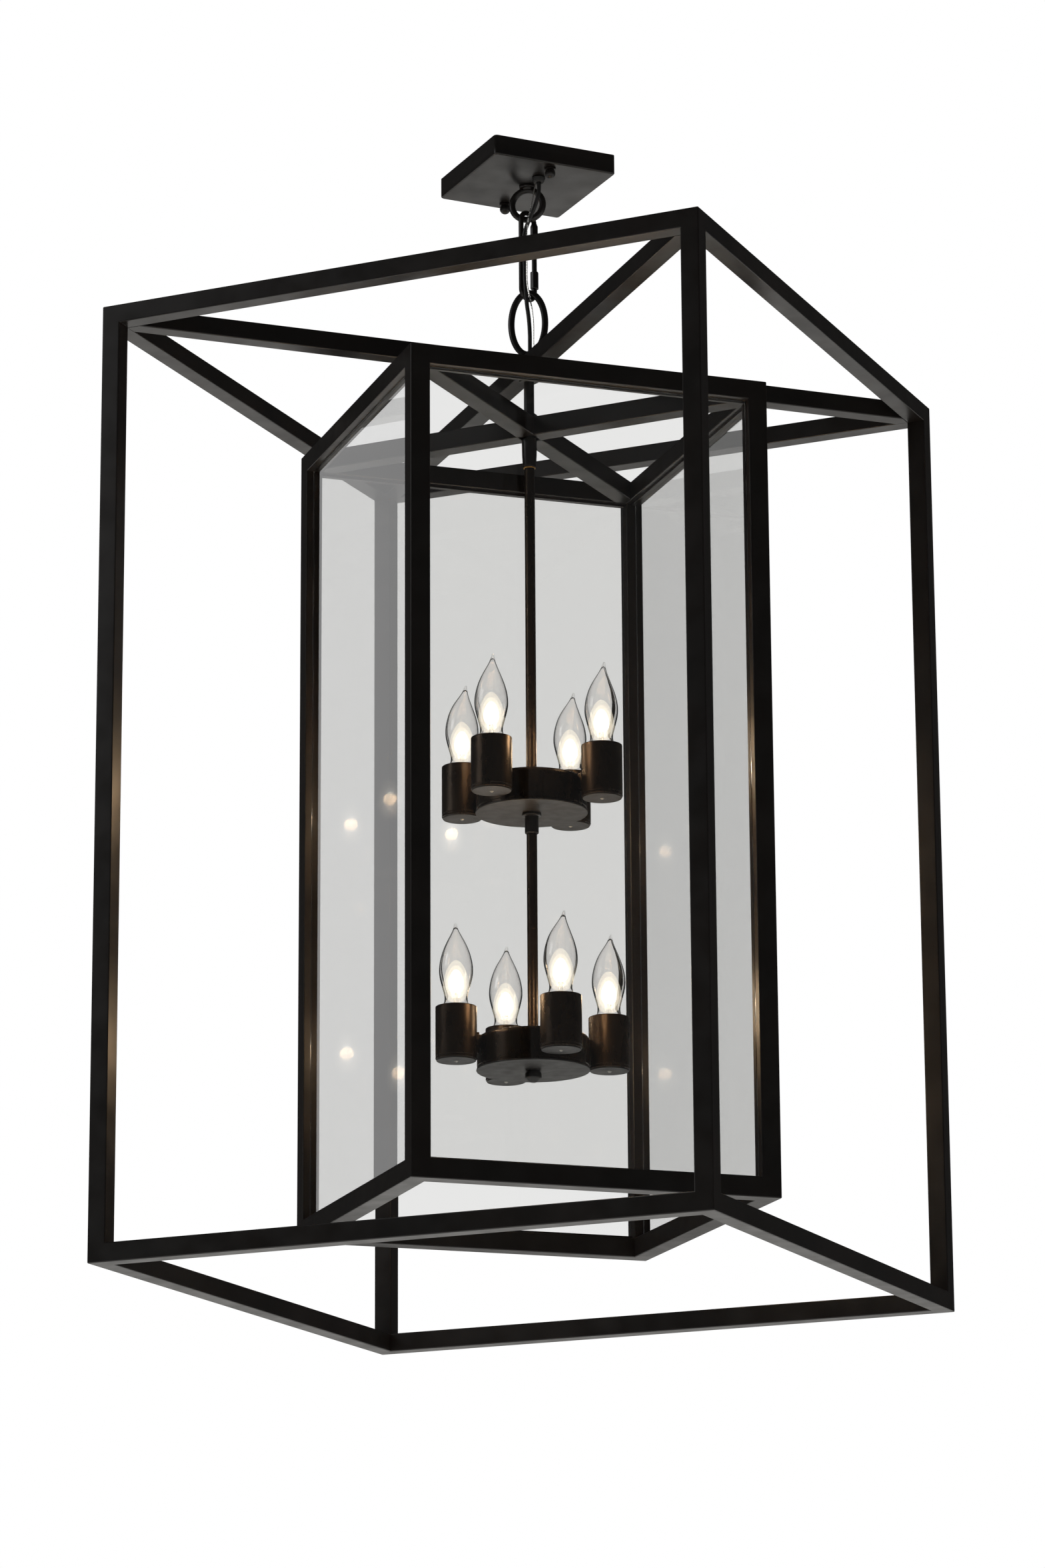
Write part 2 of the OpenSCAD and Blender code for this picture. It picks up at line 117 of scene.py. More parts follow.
def turn_about_z(angle, place=(0, 0, 0)):
    return Matrix.Translation(Vector(place)) @ Matrix.Rotation(angle, 4, "Z")


CAGE_LOW, CAGE_HIGH = low("cage_end_caps"), high("cage_end_caps")
CAGE_W = CAGE_HIGH.x - CAGE_LOW.x
CAGE_TUBE = high("cage_top_rails").z - low("cage_top_rails").z
PANE_OUT = middle("glass_pane_1")
FRAME_TURN = bearing(PANE_OUT) - math.pi / 2
FRAME_SPAN = high("frame_end_caps").x - low("frame_end_caps").x
FRAME_W = FRAME_SPAN / (abs(math.cos(FRAME_TURN)) + abs(math.sin(FRAME_TURN)))
FRAME_TOP, FRAME_FOOT = high("frame_end_caps").z, low("frame_end_caps").z
FRAME_TUBE = high("frame_top_rails").z - low("frame_top_rails").z
CANOPY_TURN = bearing(middle("cord_bushing")) - math.pi / 2
CANOPY_SPAN = high("canopy_pan").x - low("canopy_pan").x
CANOPY_W = CANOPY_SPAN / (abs(math.cos(CANOPY_TURN)) + abs(math.sin(CANOPY_TURN)))
RING_TURN = bearing(joint("link_swing")["axis"])
LINK_TURN = bearing(joint("cage_swing")["axis"])
LINK_PIVOT = Vector(joint("link_swing")["pos_m"])
CAGE_PIVOT = Vector(joint("cage_swing")["pos_m"])

# The cord's route from the canopy's bushing to the cage's bushing, and the ground wire's
# beside it, in metres.
CORD_ROUTE = [Vector(p) for p in (
    (-0.020, 0.017, -0.019), (-0.020, 0.017, -0.033), (-0.0185, 0.017, -0.041),
    (-0.015, 0.0165, -0.050), (-0.010, 0.016, -0.060), (-0.0055, 0.0155, -0.069),
    (-0.0025, 0.015, -0.079), (-0.0015, 0.014, -0.089), (-0.002, 0.0135, -0.099),
    (-0.0025, 0.013, -0.109), (-0.0025, 0.013, -0.119), (-0.003, 0.013, -0.129),
    (-0.0035, 0.0125, -0.139), (-0.004, 0.0115, -0.149), (-0.005, 0.0105, -0.159),
    (-0.0055, 0.0095, -0.169), (-0.0055, 0.0085, -0.179), (-0.0055, 0.0085, -0.189),
    (-0.0055, 0.0085, -0.199),
)]
GROUND_ROUTE = [Vector(p) for p in (
    (-0.0173, 0.0183, -0.0256), (-0.016, 0.0195, -0.034), (-0.0145, 0.020, -0.043),
    (-0.0125, 0.020, -0.052), (-0.0095, 0.019, -0.061), (-0.0075, 0.018, -0.070),
    (-0.0065, 0.017, -0.080), (-0.006, 0.0165, -0.090), (-0.006, 0.0155, -0.100),
    (-0.006, 0.0155, -0.110), (-0.006, 0.0155, -0.120), (-0.0065, 0.0155, -0.130),
    (-0.008, 0.015, -0.140), (-0.0095, 0.0135, -0.150), (-0.0105, 0.0125, -0.160),
    (-0.011, 0.012, -0.170), (-0.011, 0.012, -0.180), (-0.011, 0.012, -0.190),
    (-0.0115, 0.012, -0.200),
)]
# Both routes are cut at this point, halfway down the quick link.
ROUTE_CUT = 8


# ---- properties ----

def linear(code):
    """An sRGB hex colour, such as '1a1817', as linear red, green and blue."""
    parts = [int(code[i:i + 2], 16) / 255 for i in (0, 2, 4)]
    return tuple(c / 12.92 if c <= 0.04045 else ((c + 0.055) / 1.055) ** 2.4 for c in parts)


def length(name, description, default):
    return bpy.props.FloatProperty(
        name=name, description=description, default=default, min=0, unit="LENGTH",
        precision=4)


def colour(name, description, code):
    return bpy.props.FloatVectorProperty(
        name=name, description=description, default=linear(code), subtype="COLOR",
        size=3, min=0, max=1)


class LanternSizes(bpy.types.PropertyGroup):
    tube_edge: length("Tube edge", "Rounding along the square tubes", 1.1 * MM)
    canopy_corner: length("Canopy corner", "Radius of the canopy's upright corners", 3.5 * MM)
    canopy_edge: length("Canopy edge", "Radius of the canopy's lower edge", 1.8 * MM)
    ring_wire: length("Ring wire", "Wire diameter of the ring and the oval loop", 6.4 * MM)
    link_wire: length("Link wire", "Wire diameter of the quick link", 5 * MM)
    cord: length("Cord", "Diameter of the supply cord", 4 * MM)
    ground: length("Ground wire", "Diameter of the bare ground wire", 1.2 * MM)
    glass: length("Glass", "Thickness of the glass panes", 3 * MM)
    drum_round: length("Drum rounding", "Radius of the drum's upper edge", 5 * MM)
    lamp_rise: length("Lamp rise", "Height of a lamp above its cup", 81 * MM)
    lamp_bend: length("Lamp bend", "How far a lamp's tip leans", 4 * MM)


class LanternColours(bpy.types.PropertyGroup):
    enamel: colour("Enamel", "Satin black enamel of tubes, canopy and links", "0b0908")
    enamel_thin: colour("Thin enamel", "Enamel where the coat is thinner", "130f0d")
    bronze: colour("Bronze", "Blackened bronze of the rods, drums and cups", "3b3026")
    bronze_dark: colour("Dark bronze", "The same, where it is most blackened", "2a231c")
    # Lighter than the enamel: painted light from below on the down-facing plates.
    plate: colour("Plates", "Cover plates under the drums and cups", "161413")
    brass: colour("Brass", "Bare brass rings and nuts", "b08a4e")
    zinc: colour("Zinc", "Zinc plating on hidden hardware", "a9a7a0")
    jacket: colour("Jacket", "The cord's black jacket", "0a0a0a")
    pane: colour("Pane", "Tint of the glass panes", "efefee")
    glow: colour("Glow", "Light of the lamps", "ffd09a")


# ---- mesh helpers ----

def gather(*parts):
    """One bmesh out of bmeshes, or of (bmesh, matrix) pairs."""
    whole = bmesh.new()
    for part in parts:
        shape, matrix = part if isinstance(part, tuple) else (part, Matrix())
        scratch = bpy.data.meshes.new("scratch")
        shape.to_mesh(scratch)
        scratch.transform(matrix)
        whole.from_mesh(scratch)
        bpy.data.meshes.remove(scratch)
    return whole


def moved(shape, matrix):
    """Moves a bmesh, and gives it back."""
    bmesh.ops.transform(shape, matrix=matrix, verts=shape.verts)
    return shape


def soften(shape, width, segments=2, least_angle=35):
    """Rounds the sharp convex edges."""
    limit = math.radians(least_angle)
    edges = [e for e in shape.edges
             if len(e.link_faces) == 2 and e.calc_face_angle(0) > limit
             and e.is_convex]
    bmesh.ops.bevel(shape, geom=edges, offset=width, offset_type="OFFSET", segments=segments,
                    profile=0.5, affect="EDGES", material=-1, clamp_overlap=True)
    return shape


def block(size, edge=0.0, matrix=Matrix()):
    """A block with rounded edges, about its own middle."""
    shape = bmesh.new()
    bmesh.ops.create_cube(shape, size=1)
    bmesh.ops.scale(shape, vec=Vector(size), verts=shape.verts)
    if edge:
        soften(shape, edge)
    return moved(shape, matrix)


def lathe(outline, steps=64, closed=False, edge=0.0):
    """Spins an outline of (radius, height) points in millimetres about Z. A closed one is a
    hollow wall. edge is the rounding of its edges, in millimetres too."""
    shape = bmesh.new()
    verts = [shape.verts.new((r * MM, 0, z * MM)) for r, z in outline]
    pairs = list(zip(verts, verts[1:]))
    if closed:
        pairs.append((verts[-1], verts[0]))
    edges = [shape.edges.new(pair) for pair in pairs]
    bmesh.ops.spin(shape, geom=verts + edges, cent=(0, 0, 0), axis=AXIS_Z,
                   angle=math.tau, steps=steps, use_merge=True)
    bmesh.ops.remove_doubles(shape, verts=shape.verts, dist=1e-6)
    bmesh.ops.recalc_face_normals(shape, faces=shape.faces)
    if edge:
        soften(shape, edge * MM)
    return shape


def arc(centre, radius, start, stop, steps=6):
    """Points along an arc of an outline, with its angles in degrees."""
    return [(centre[0] + radius * math.cos(math.radians(start + (stop - start) * i / steps)),
             centre[1] + radius * math.sin(math.radians(start + (stop - start) * i / steps)))
            for i in range(steps + 1)]


def curve_through(points, per_span=4):
    """A smooth line through points, with per_span short pieces between each two."""
    ends = [2 * points[0] - points[1], *points, 2 * points[-1] - points[-2]]
    line = []
    for a, b, c, d in zip(ends, ends[1:], ends[2:], ends[3:]):
        for i in range(per_span):
            t = i / per_span
            line.append(0.5 * (2 * b + (c - a) * t + (2 * a - 5 * b + 4 * c - d) * t ** 2
                               + (3 * b - a - 3 * c + d) * t ** 3))
    line.append(points[-1].copy())
    return line


def sweep(points, radius, sides=16, closed=False, start_side=None):
    """A round tube along a line of points. radius is one value, or one for each point."""
    count = len(points)
    radii = radius if isinstance(radius, list) else [radius] * count
    side = start_side
    places = []
    for i, point in enumerate(points):
        before = points[i - 1] if i or closed else point
        after = points[(i + 1) % count] if i + 1 < count or closed else point
        ahead = (after - before).normalized()
        side = side or ahead.orthogonal()
        side = (side - side.dot(ahead) * ahead).normalized()
        turned = Matrix((side, ahead.cross(side), ahead)).transposed().to_4x4()
        places.append(Matrix.Translation(point) @ turned @ Matrix.Scale(radii[i], 4))
    shape = bmesh.new()
    first = bmesh.ops.create_circle(shape, cap_ends=False, segments=sides, radius=1,
                                    matrix=places[0])
    rim = list({e for v in first["verts"] for e in v.link_edges})
    first_rim = rim
    for previous, place in zip(places, places[1:] + (places[:1] if closed else [])):
        made = bmesh.ops.extrude_edge_only(shape, edges=rim)["geom"]
        rim = [g for g in made if isinstance(g, bmesh.types.BMEdge)]
        bmesh.ops.transform(shape, matrix=place @ previous.inverted(),
                            verts=[g for g in made if isinstance(g, bmesh.types.BMVert)])
    if closed:
        bmesh.ops.remove_doubles(shape, verts=shape.verts, dist=1e-5)
    else:
        for end in (first_rim, rim):
            bmesh.ops.edgeloop_fill(shape, edges=end)
    bmesh.ops.recalc_face_normals(shape, faces=shape.faces)
    return shape


def piece(name, shape, material, body=None, replaces=(), sharp=35):
    """Turns a bmesh into a named object that moves with a body and stands for its nodes."""
    mesh = bpy.data.meshes.new(name)
    shape.to_mesh(mesh)
    shape.free()
    mesh.materials.append(material)
    mesh.shade_smooth()
    mesh.set_sharp_from_angle(angle=math.radians(sharp))
    made = bpy.data.objects.new(name, mesh)
    bpy.context.scene.collection.objects.link(made)
    weighted = made.modifiers.new("Face-weighted shading", "WEIGHTED_NORMAL")
    weighted.keep_sharp = True
    if body:
        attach(made, body)
    if replaces:
        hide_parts(*replaces)
    return made


def dress(material, *nodes):
    """Gives CAD nodes that stay visible their finish."""
    for node in nodes:
        target = frame["nodes"][node]
        target.data.materials.clear()
        target.data.materials.append(material)


# ---- materials ----

def add(tree, kind, settings=None, links=None):
    """Adds a shader node, gives it its settings and links its inputs."""
    made = tree.nodes.new(kind)
    for key, value in (settings or {}).items():
        if isinstance(key, int) or key in made.inputs:
            made.inputs[key].default_value = value
        else:
            setattr(made, key, value)
    for key, source in (links or {}).items():
        tree.links.new(source, made.inputs[key])
    return made


def new_material(name):
    """An empty material with its output, and its tree."""
    material = bpy.data.materials.new(name)
    material.use_nodes = True
    material.node_tree.nodes.clear()
    return material, material.node_tree


def clouds(tree, size, start, stop, stretch=(1, 1, 1), least=0.3, most=0.7):
    """Soft blotches of a size in metres, as a value that runs from start to stop."""
    place = add(tree, "ShaderNodeTexCoord")
    scaled = add(tree, "ShaderNodeMapping", {"Scale": [s / size for s in stretch]},
                 {"Vector": place.outputs["Object"]})
    blotches = add(tree, "ShaderNodeTexNoise", {"Scale": 1.0, "Detail": 3.0},
                   {"Vector": scaled.outputs["Vector"]})
    return add(tree, "ShaderNodeMapRange",
               {"From Min": least, "From Max": most, "To Min": start, "To Max": stop},
               {"Value": blotches.outputs["Fac"]}).outputs["Result"]


def coated(name, first, second, rough, blotch, grain, depth, settings=None,
           stretch=(1, 1, 1)):
    """A finish with two shades in blotches, uneven gloss and a fine bump."""
    material, tree = new_material(name)
    tint = add(tree, "ShaderNodeMix", {"data_type": "RGBA", 6: (*first, 1), 7: (*second, 1)},
               {0: clouds(tree, blotch, 0, 1, stretch)})
    bump = add(tree, "ShaderNodeBump", {"Strength": 0.35, "Distance": depth},
               {"Height": clouds(tree, grain, 0, 1, stretch, 0, 1)})
    shader = add(tree, "ShaderNodeBsdfPrincipled", settings,
                 {"Base Color": tint.outputs[2],
                  "Roughness": clouds(tree, blotch * 0.4, *rough, stretch),
                  "Normal": bump.outputs["Normal"]})
    add(tree, "ShaderNodeOutputMaterial", None, {"Surface": shader.outputs["BSDF"]})
    return material


def satin_enamel(colours):
    # Black stoving enamel, sprayed: an even satin with a faint orange peel. The peel is
    # drawn 2.4 mm wide, about three times too coarse, so that it can be seen.
    return coated("satin_black_enamel", colours.enamel, colours.enamel_thin, (0.28, 0.40),
                  70 * MM, 2.4 * MM, 0.02 * MM, {"IOR": 1.45})


def blackened_bronze(colours):
    # Steel plated and blackened, then rubbed by hand and lacquered: dark metal with warm
    # reflections, in soft patches that run up and down.
    return coated("blackened_bronze", colours.bronze, colours.bronze_dark, (0.24, 0.34),
                  26 * MM, 1.6 * MM, 0.01 * MM, {"Metallic": 0.85}, (1, 1, 0.4))


def plate_enamel(colours):
    # Flat stamped plates in the same enamel, a little duller, with broad faint clouds. Their
    # base colour is lighter than the enamel's: painted light from below on these down-facing
    # plates. The duller gloss is the plates' own.
    return coated("plate_enamel", colours.plate, colours.enamel_thin, (0.38, 0.50),
                  30 * MM, 2.0 * MM, 0.02 * MM, {"IOR": 1.5})


def bare_brass(colours):
    # Turned brass, slightly tarnished in patches.
    dark = [c * 0.55 for c in colours.brass]
    return coated("turned_brass", colours.brass, dark, (0.25, 0.45), 6 * MM, 0.8 * MM,
                  0.02 * MM, {"Metallic": 1.0})


def zinc_plate(colours):
    # Bright zinc on stamped steel: pale grey, with dull cloudy patches.
    dull = [c * 0.7 for c in colours.zinc]
    return coated("zinc_plated_steel", colours.zinc, dull, (0.28, 0.48), 9 * MM, 1.2 * MM,
                  0.02 * MM, {"Metallic": 1.0})


def cord_jacket(colours):
    # Extruded PVC: black, smooth, with a dull sheen and slight rubbing marks.
    grey = [c + 0.006 for c in colours.jacket]
    return coated("pvc_jacket", colours.jacket, grey, (0.35, 0.5), 12 * MM, 1.0 * MM,
                  0.02 * MM, {"IOR": 1.53})


def moulded_plastic(name, code, pale):
    # Injection-moulded fitting, matt from a spark-eroded mould.
    return coated(name, linear(code), linear(pale), (0.45, 0.6), 10 * MM, 0.9 * MM,
                  0.03 * MM, {"IOR": 1.5})


def glazed_socket():
    # Slip-cast porcelain lamp socket under a clear glaze.
    return coated("glazed_porcelain", linear("e9e4d8"), linear("dcd5c6"), (0.12, 0.2),
                  14 * MM, 3 * MM, 0.02 * MM, {"IOR": 1.52, "Coat Weight": 0.4})


def tinned_wire():
    # Fine tinned copper strands twisted together: bright and slightly uneven, with the lay
    # of the strands as slanted bands 2 mm apart, coarser than the real lay so that it shows.
    material, tree = new_material("tinned_copper_strands")
    place = add(tree, "ShaderNodeTexCoord")
    slanted = add(tree, "ShaderNodeMapping", {"Rotation": (0.6, 0.5, 0)},
                  {"Vector": place.outputs["Object"]})
    bands = add(tree, "ShaderNodeTexWave",
                {"bands_direction": "Z", "Scale": math.tau / 20 / (2 * MM), "Distortion": 0.6},
                {"Vector": slanted.outputs["Vector"]}).outputs["Fac"]
    tint = add(tree, "ShaderNodeMix", {"data_type": "RGBA", 6: (*linear("c9c7c2"), 1),
                                       7: (*linear("efeeea"), 1)}, {0: bands})
    bump = add(tree, "ShaderNodeBump", {"Strength": 0.3, "Distance": 0.05 * MM},
               {"Height": bands})
    shader = add(tree, "ShaderNodeBsdfPrincipled", {"Metallic": 1.0},
                 {"Base Color": tint.outputs[2],
                  "Roughness": clouds(tree, 3 * MM, 0, 0.2, least=0.5, most=0.8),
                  "Normal": bump.outputs["Normal"]})
    add(tree, "ShaderNodeOutputMaterial", None, {"Surface": shader.outputs["BSDF"]})
    return material


def window_glass(colours):
    # Float glass with a slight grey cast. Its surface is a little uneven, which bends the
    # reflections in it.
    material, tree = new_material("float_glass")
    bump = add(tree, "ShaderNodeBump", {"Strength": 0.02, "Distance": 0.4 * MM},
               {"Height": clouds(tree, 120 * MM, 0, 1, least=0, most=1)})
    shader = add(tree, "ShaderNodeBsdfPrincipled",
                 {"Base Color": (*colours.pane, 1), "Transmission Weight": 1.0,
                  "IOR": 1.5, "Roughness": 0.0}, {"Normal": bump.outputs["Normal"]})
    add(tree, "ShaderNodeOutputMaterial", None, {"Surface": shader.outputs["BSDF"]})
    return material


def blown_glass():
    # Thin blown soda-lime glass of a lamp, with slight waves from the blowing.
    material, tree = new_material("blown_lamp_glass")
    bump = add(tree, "ShaderNodeBump", {"Strength": 0.10, "Distance": 0.3 * MM},
               {"Height": clouds(tree, 9 * MM, 0, 1, (1, 1, 0.4), 0, 1)})
    shader = add(tree, "ShaderNodeBsdfPrincipled",
                 {"Base Color": (*linear("fdfcfb"), 1), "Transmission Weight": 1.0,
                  "IOR": 1.5, "Roughness": 0.0}, {"Normal": bump.outputs["Normal"]})
    add(tree, "ShaderNodeOutputMaterial", None, {"Surface": shader.outputs["BSDF"]})
    return material


def glowing(name, shade, strength, alpha):
    # Incandescent light: a hot wire, or the bloom of light around it. The bloom is a stack
    # of thin clear skins, so it is brightest where most of them lie behind each other.
    material, tree = new_material(name)
    warmer = [min(1, c * 1.15) for c in shade]
    tint = add(tree, "ShaderNodeMix", {"data_type": "RGBA", 6: (*shade, 1), 7: (*warmer, 1)},
               {0: clouds(tree, 5 * MM, 0, 1)})
    shader = add(tree, "ShaderNodeBsdfPrincipled",
                 {"Base Color": (0, 0, 0, 1), "Emission Strength": strength, "Alpha": alpha,
                  "Specular IOR Level": 0.0}, {"Emission Color": tint.outputs[2]})
    add(tree, "ShaderNodeOutputMaterial", None, {"Surface": shader.outputs["BSDF"]})
    return material


def finishes():
    """The materials by name, made once."""
    if "satin_black_enamel" not in bpy.data.materials:
        colours = bpy.context.scene.lantern_colours
        satin_enamel(colours)
        blackened_bronze(colours)
        plate_enamel(colours)
        bare_brass(colours)
        zinc_plate(colours)
        cord_jacket(colours)
        moulded_plastic("black_bushing", "0e0e0e", "1a1a1a")
        moulded_plastic("orange_wire_nut", "c8641e", "d8782c")
        glazed_socket()
        tinned_wire()
        window_glass(colours)
        blown_glass()
        glowing("hot_filament", (1.0, 0.88, 0.68), 150.0, 1.0)
        glowing("glow_core", (1.0, 0.91, 0.80), 4.0, 0.30)
        glowing("glow_halo", (1.0, 0.84, 0.67), 2.3, 0.13)
    return bpy.data.materials


def enamelled(name, shape, body, *nodes):
    """A piece in satin black enamel."""
    return piece(name, shape, finishes()["satin_black_enamel"], body, nodes)


def bronzed(name, shape, *nodes):
    """A piece of the cage's body in blackened bronze."""
    return piece(name, shape, finishes()["blackened_bronze"], "cage", nodes)


# ---- frames of square tube ----

def box_frame(size, tube, edge):
    """A welded box frame of square tube, about its own middle: a box with a window in each
    face, thickened inwards by the tube's side."""
    shape = bmesh.new()
    bmesh.ops.create_cube(shape, size=1)
    bmesh.ops.scale(shape, vec=size, verts=shape.verts)
    windows = shape.faces[:]
    bmesh.ops.inset_individual(shape, faces=windows, thickness=tube, use_even_offset=True)
    bmesh.ops.delete(shape, geom=windows, context="FACES")
    bmesh.ops.recalc_face_normals(shape, faces=shape.faces)
    bmesh.ops.solidify(shape, geom=shape.faces[:], thickness=tube)
    bmesh.ops.remove_doubles(shape, verts=shape.verts, dist=1e-6)
    bmesh.ops.dissolve_degenerate(shape, edges=shape.edges, dist=1e-6)
    return soften(shape, edge, 3)


def cross_bars(room, tube, edge):
    """Four bars from the middle to the corners of a square, with ends coped to its sides.
    Their top is at z = 0."""
    parts = []
    reach = room / math.sqrt(2) + tube
    for quarter in range(4):
        start = -tube / 2 if quarter % 2 else tube / 2 - edge
        bar = block((reach - start, tube, tube))
        soften(bar, edge, 3, 80)
        bmesh.ops.translate(bar, vec=((reach + start) / 2, 0, -tube / 2), verts=bar.verts)
        bmesh.ops.rotate(bar, cent=(0, 0, 0), verts=bar.verts,
                         matrix=Matrix.Rotation(math.radians(45 + 90 * quarter), 3, "Z"))
        for axis in (0, 1):
            for sign in (-1, 1):
                out = Vector((0, 0, 0))
                out[axis] = sign
                bmesh.ops.bisect_plane(bar, geom=bar.verts[:] + bar.edges[:] + bar.faces[:],
                                       plane_co=out * room / 2, plane_no=out,
                                       clear_outer=True)
        bmesh.ops.holes_fill(bar, edges=[e for e in bar.edges if e.is_boundary])
        parts.append(bar)
    return gather(*parts)


class LANTERN_OT_cage(bpy.types.Operator):
    """Builds the outer cage: the welded box frame and the diagonal cross in its top"""
    bl_idname = "lantern.cage"
    bl_label = "Cage"

    def execute(self, context):
        edge = context.scene.lantern_sizes.tube_edge
        shape = box_frame(CAGE_HIGH - CAGE_LOW, CAGE_TUBE, edge)
        enamelled("cage_box_frame",
                  moved(shape, Matrix.Translation((CAGE_HIGH + CAGE_LOW) / 2)), "cage",
                  "cage_post_1", "cage_post_2", "cage_post_3", "cage_post_4",
                  "cage_top_rails", "cage_bottom_rails", "cage_end_caps")
        cross = cross_bars(CAGE_W - 2 * CAGE_TUBE, CAGE_TUBE, edge)
        enamelled("cage_diagonal_cross",
                  moved(cross, Matrix.Translation((0, 0, CAGE_HIGH.z))), "cage",
                  "cage_cross")
        return {"FINISHED"}


class LANTERN_OT_glazed_frame(bpy.types.Operator):
    """Builds the turned inner frame with its cross and four panes, and finishes its beads"""
    bl_idname = "lantern.glazed_frame"
    bl_label = "Glazed frame"

    def execute(self, context):
        sizes, finish = context.scene.lantern_sizes, finishes()
        shape = box_frame(Vector((FRAME_W, FRAME_W, FRAME_TOP - FRAME_FOOT)), FRAME_TUBE,
                          sizes.tube_edge)
        place = turn_about_z(FRAME_TURN, (0, 0, (FRAME_TOP + FRAME_FOOT) / 2))
        enamelled("glazed_box_frame", moved(shape, place), "glazed_frame", "frame_posts",
                  "frame_top_rails", "frame_bottom_rails", "frame_end_caps")
        cross = cross_bars(FRAME_W - 2 * FRAME_TUBE, FRAME_TUBE, sizes.tube_edge)
        enamelled("frame_diagonal_cross",
                  moved(cross, turn_about_z(FRAME_TURN, (0, 0, FRAME_TOP))),
                  "glazed_frame", "frame_cross")
        self.glaze(sizes, finish)
        dress(finish["satin_black_enamel"], "glazing_beads")
        return {"FINISHED"}

    def glaze(self, sizes, finish):
        out = Vector((PANE_OUT.x, PANE_OUT.y)).length
        tall = high("glass_pane_1").z - low("glass_pane_1").z
        wide = FRAME_W - 2 * FRAME_TUBE - 1 * MM
        for n in range(4):
            pane = block((wide, sizes.glass, tall), 0.4 * MM,
                         Matrix.Translation((0, out, PANE_OUT.z)))
            moved(pane, turn_about_z(FRAME_TURN + n * math.pi / 2))
            made = piece(f"window_pane_{n + 1}", pane, finish["float_glass"],
                         "glazed_frame", [f"glass_pane_{n + 1}"])
            made.visible_shadow = False


# ---- canopy and chain ----

class LANTERN_OT_canopy(bpy.types.Operator):
    """Builds the canopy pan, its nuts and bushing, and finishes the hardware inside it"""
    bl_idname = "lantern.canopy"
    bl_label = "Canopy"

    def execute(self, context):
        finish = finishes()
        self.pan(context.scene.lantern_sizes)
        self.nuts()
        self.bushing(finish)
        dress(finish["zinc_plated_steel"], "mounting_bar", "canopy_studs")
        dress(finish["turned_brass"], "ring_locknuts")
        dress(finish["orange_wire_nut"], "wire_nuts")
        return {"FINISHED"}

    def pan(self, sizes):
        """A box with no top: corners and lower edge rounded, then given its wall."""
        lowest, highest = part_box("canopy_pan")
        shape = block((CANOPY_W, CANOPY_W, highest.z - lowest.z))
        lid = [f for f in shape.faces if f.normal.z > 0.9]
        bmesh.ops.delete(shape, geom=lid, context="FACES")
        upright = [e for e in shape.edges if abs(e.verts[0].co.z - e.verts[1].co.z) > MM]
        rounding = {"offset_type": "OFFSET", "profile": 0.5, "affect": "EDGES",
                    "material": -1}
        bmesh.ops.bevel(shape, geom=upright, offset=sizes.canopy_corner, segments=5,
                        **rounding)
        foot = min(v.co.z for v in shape.verts)
        around = [e for e in shape.edges if all(v.co.z < foot + 1e-6 for v in e.verts)]
        bmesh.ops.bevel(shape, geom=around, offset=sizes.canopy_edge, segments=4, **rounding)
        bmesh.ops.recalc_face_normals(shape, faces=shape.faces)
        if sum(f.normal.z * f.calc_area() for f in shape.faces) > 0:
            bmesh.ops.reverse_faces(shape, faces=shape.faces)
        moved(shape, turn_about_z(CANOPY_TURN, (0, 0, middle("canopy_pan").z)))
        pan = enamelled("canopy_shell", shape, "canopy", "canopy_pan")
        wall = pan.modifiers.new("Sheet thickness", "SOLIDIFY")
        wall.thickness = 1.2 * MM
        wall.offset = -1
        wall.use_even_offset = True

    def nuts(self):
        """Ball nuts on a thin collar, one on each stud."""
        highest = high("ball_nuts")
        collar, ball = 5.6, 5.2
        outline = [(0, 0), *arc((collar - 0.6, -0.6), 0.6, 90, 0, 3), (collar, -1.6),
                   (4, -2.1), *arc((0, -ball), ball, 36, -90, 14)]
        reach = math.hypot(highest.x - collar * MM, highest.y - collar * MM)
        out = CANOPY_TURN + math.pi / 2
        parts = []
        for way in (-1, 1):
            spot = Vector((math.cos(out), math.sin(out), 0)) * reach * way
            spot.z = highest.z
            parts.append((lathe(outline, 40), Matrix.Translation(spot)))
        enamelled("canopy_ball_nuts", gather(*parts), "canopy", "ball_nuts")

    def bushing(self, finish):
        """The tapered strain relief that the cord leaves through."""
        foot, top = heights("cord_bushing")
        flange = low("canopy_pan").z / MM
        bore = 2.4
        outline = [(bore, top), (5, top), (5, flange),
                   *arc((5.6, flange - 0.9), 0.9, 90, 0, 4), (5.5, foot + 1.4),
                   *arc((4.1, foot + 0.8), 0.8, 0, -90, 4), (bore + 0.5, foot),
                   (bore, foot + 0.6)]
        centre = middle("cord_bushing")
        shape = moved(lathe(outline, 40, closed=True),
                      Matrix.Translation((centre.x, centre.y, 0)))
        piece("cord_strain_relief", shape, finish["black_bushing"], "canopy",
              ["cord_bushing"])


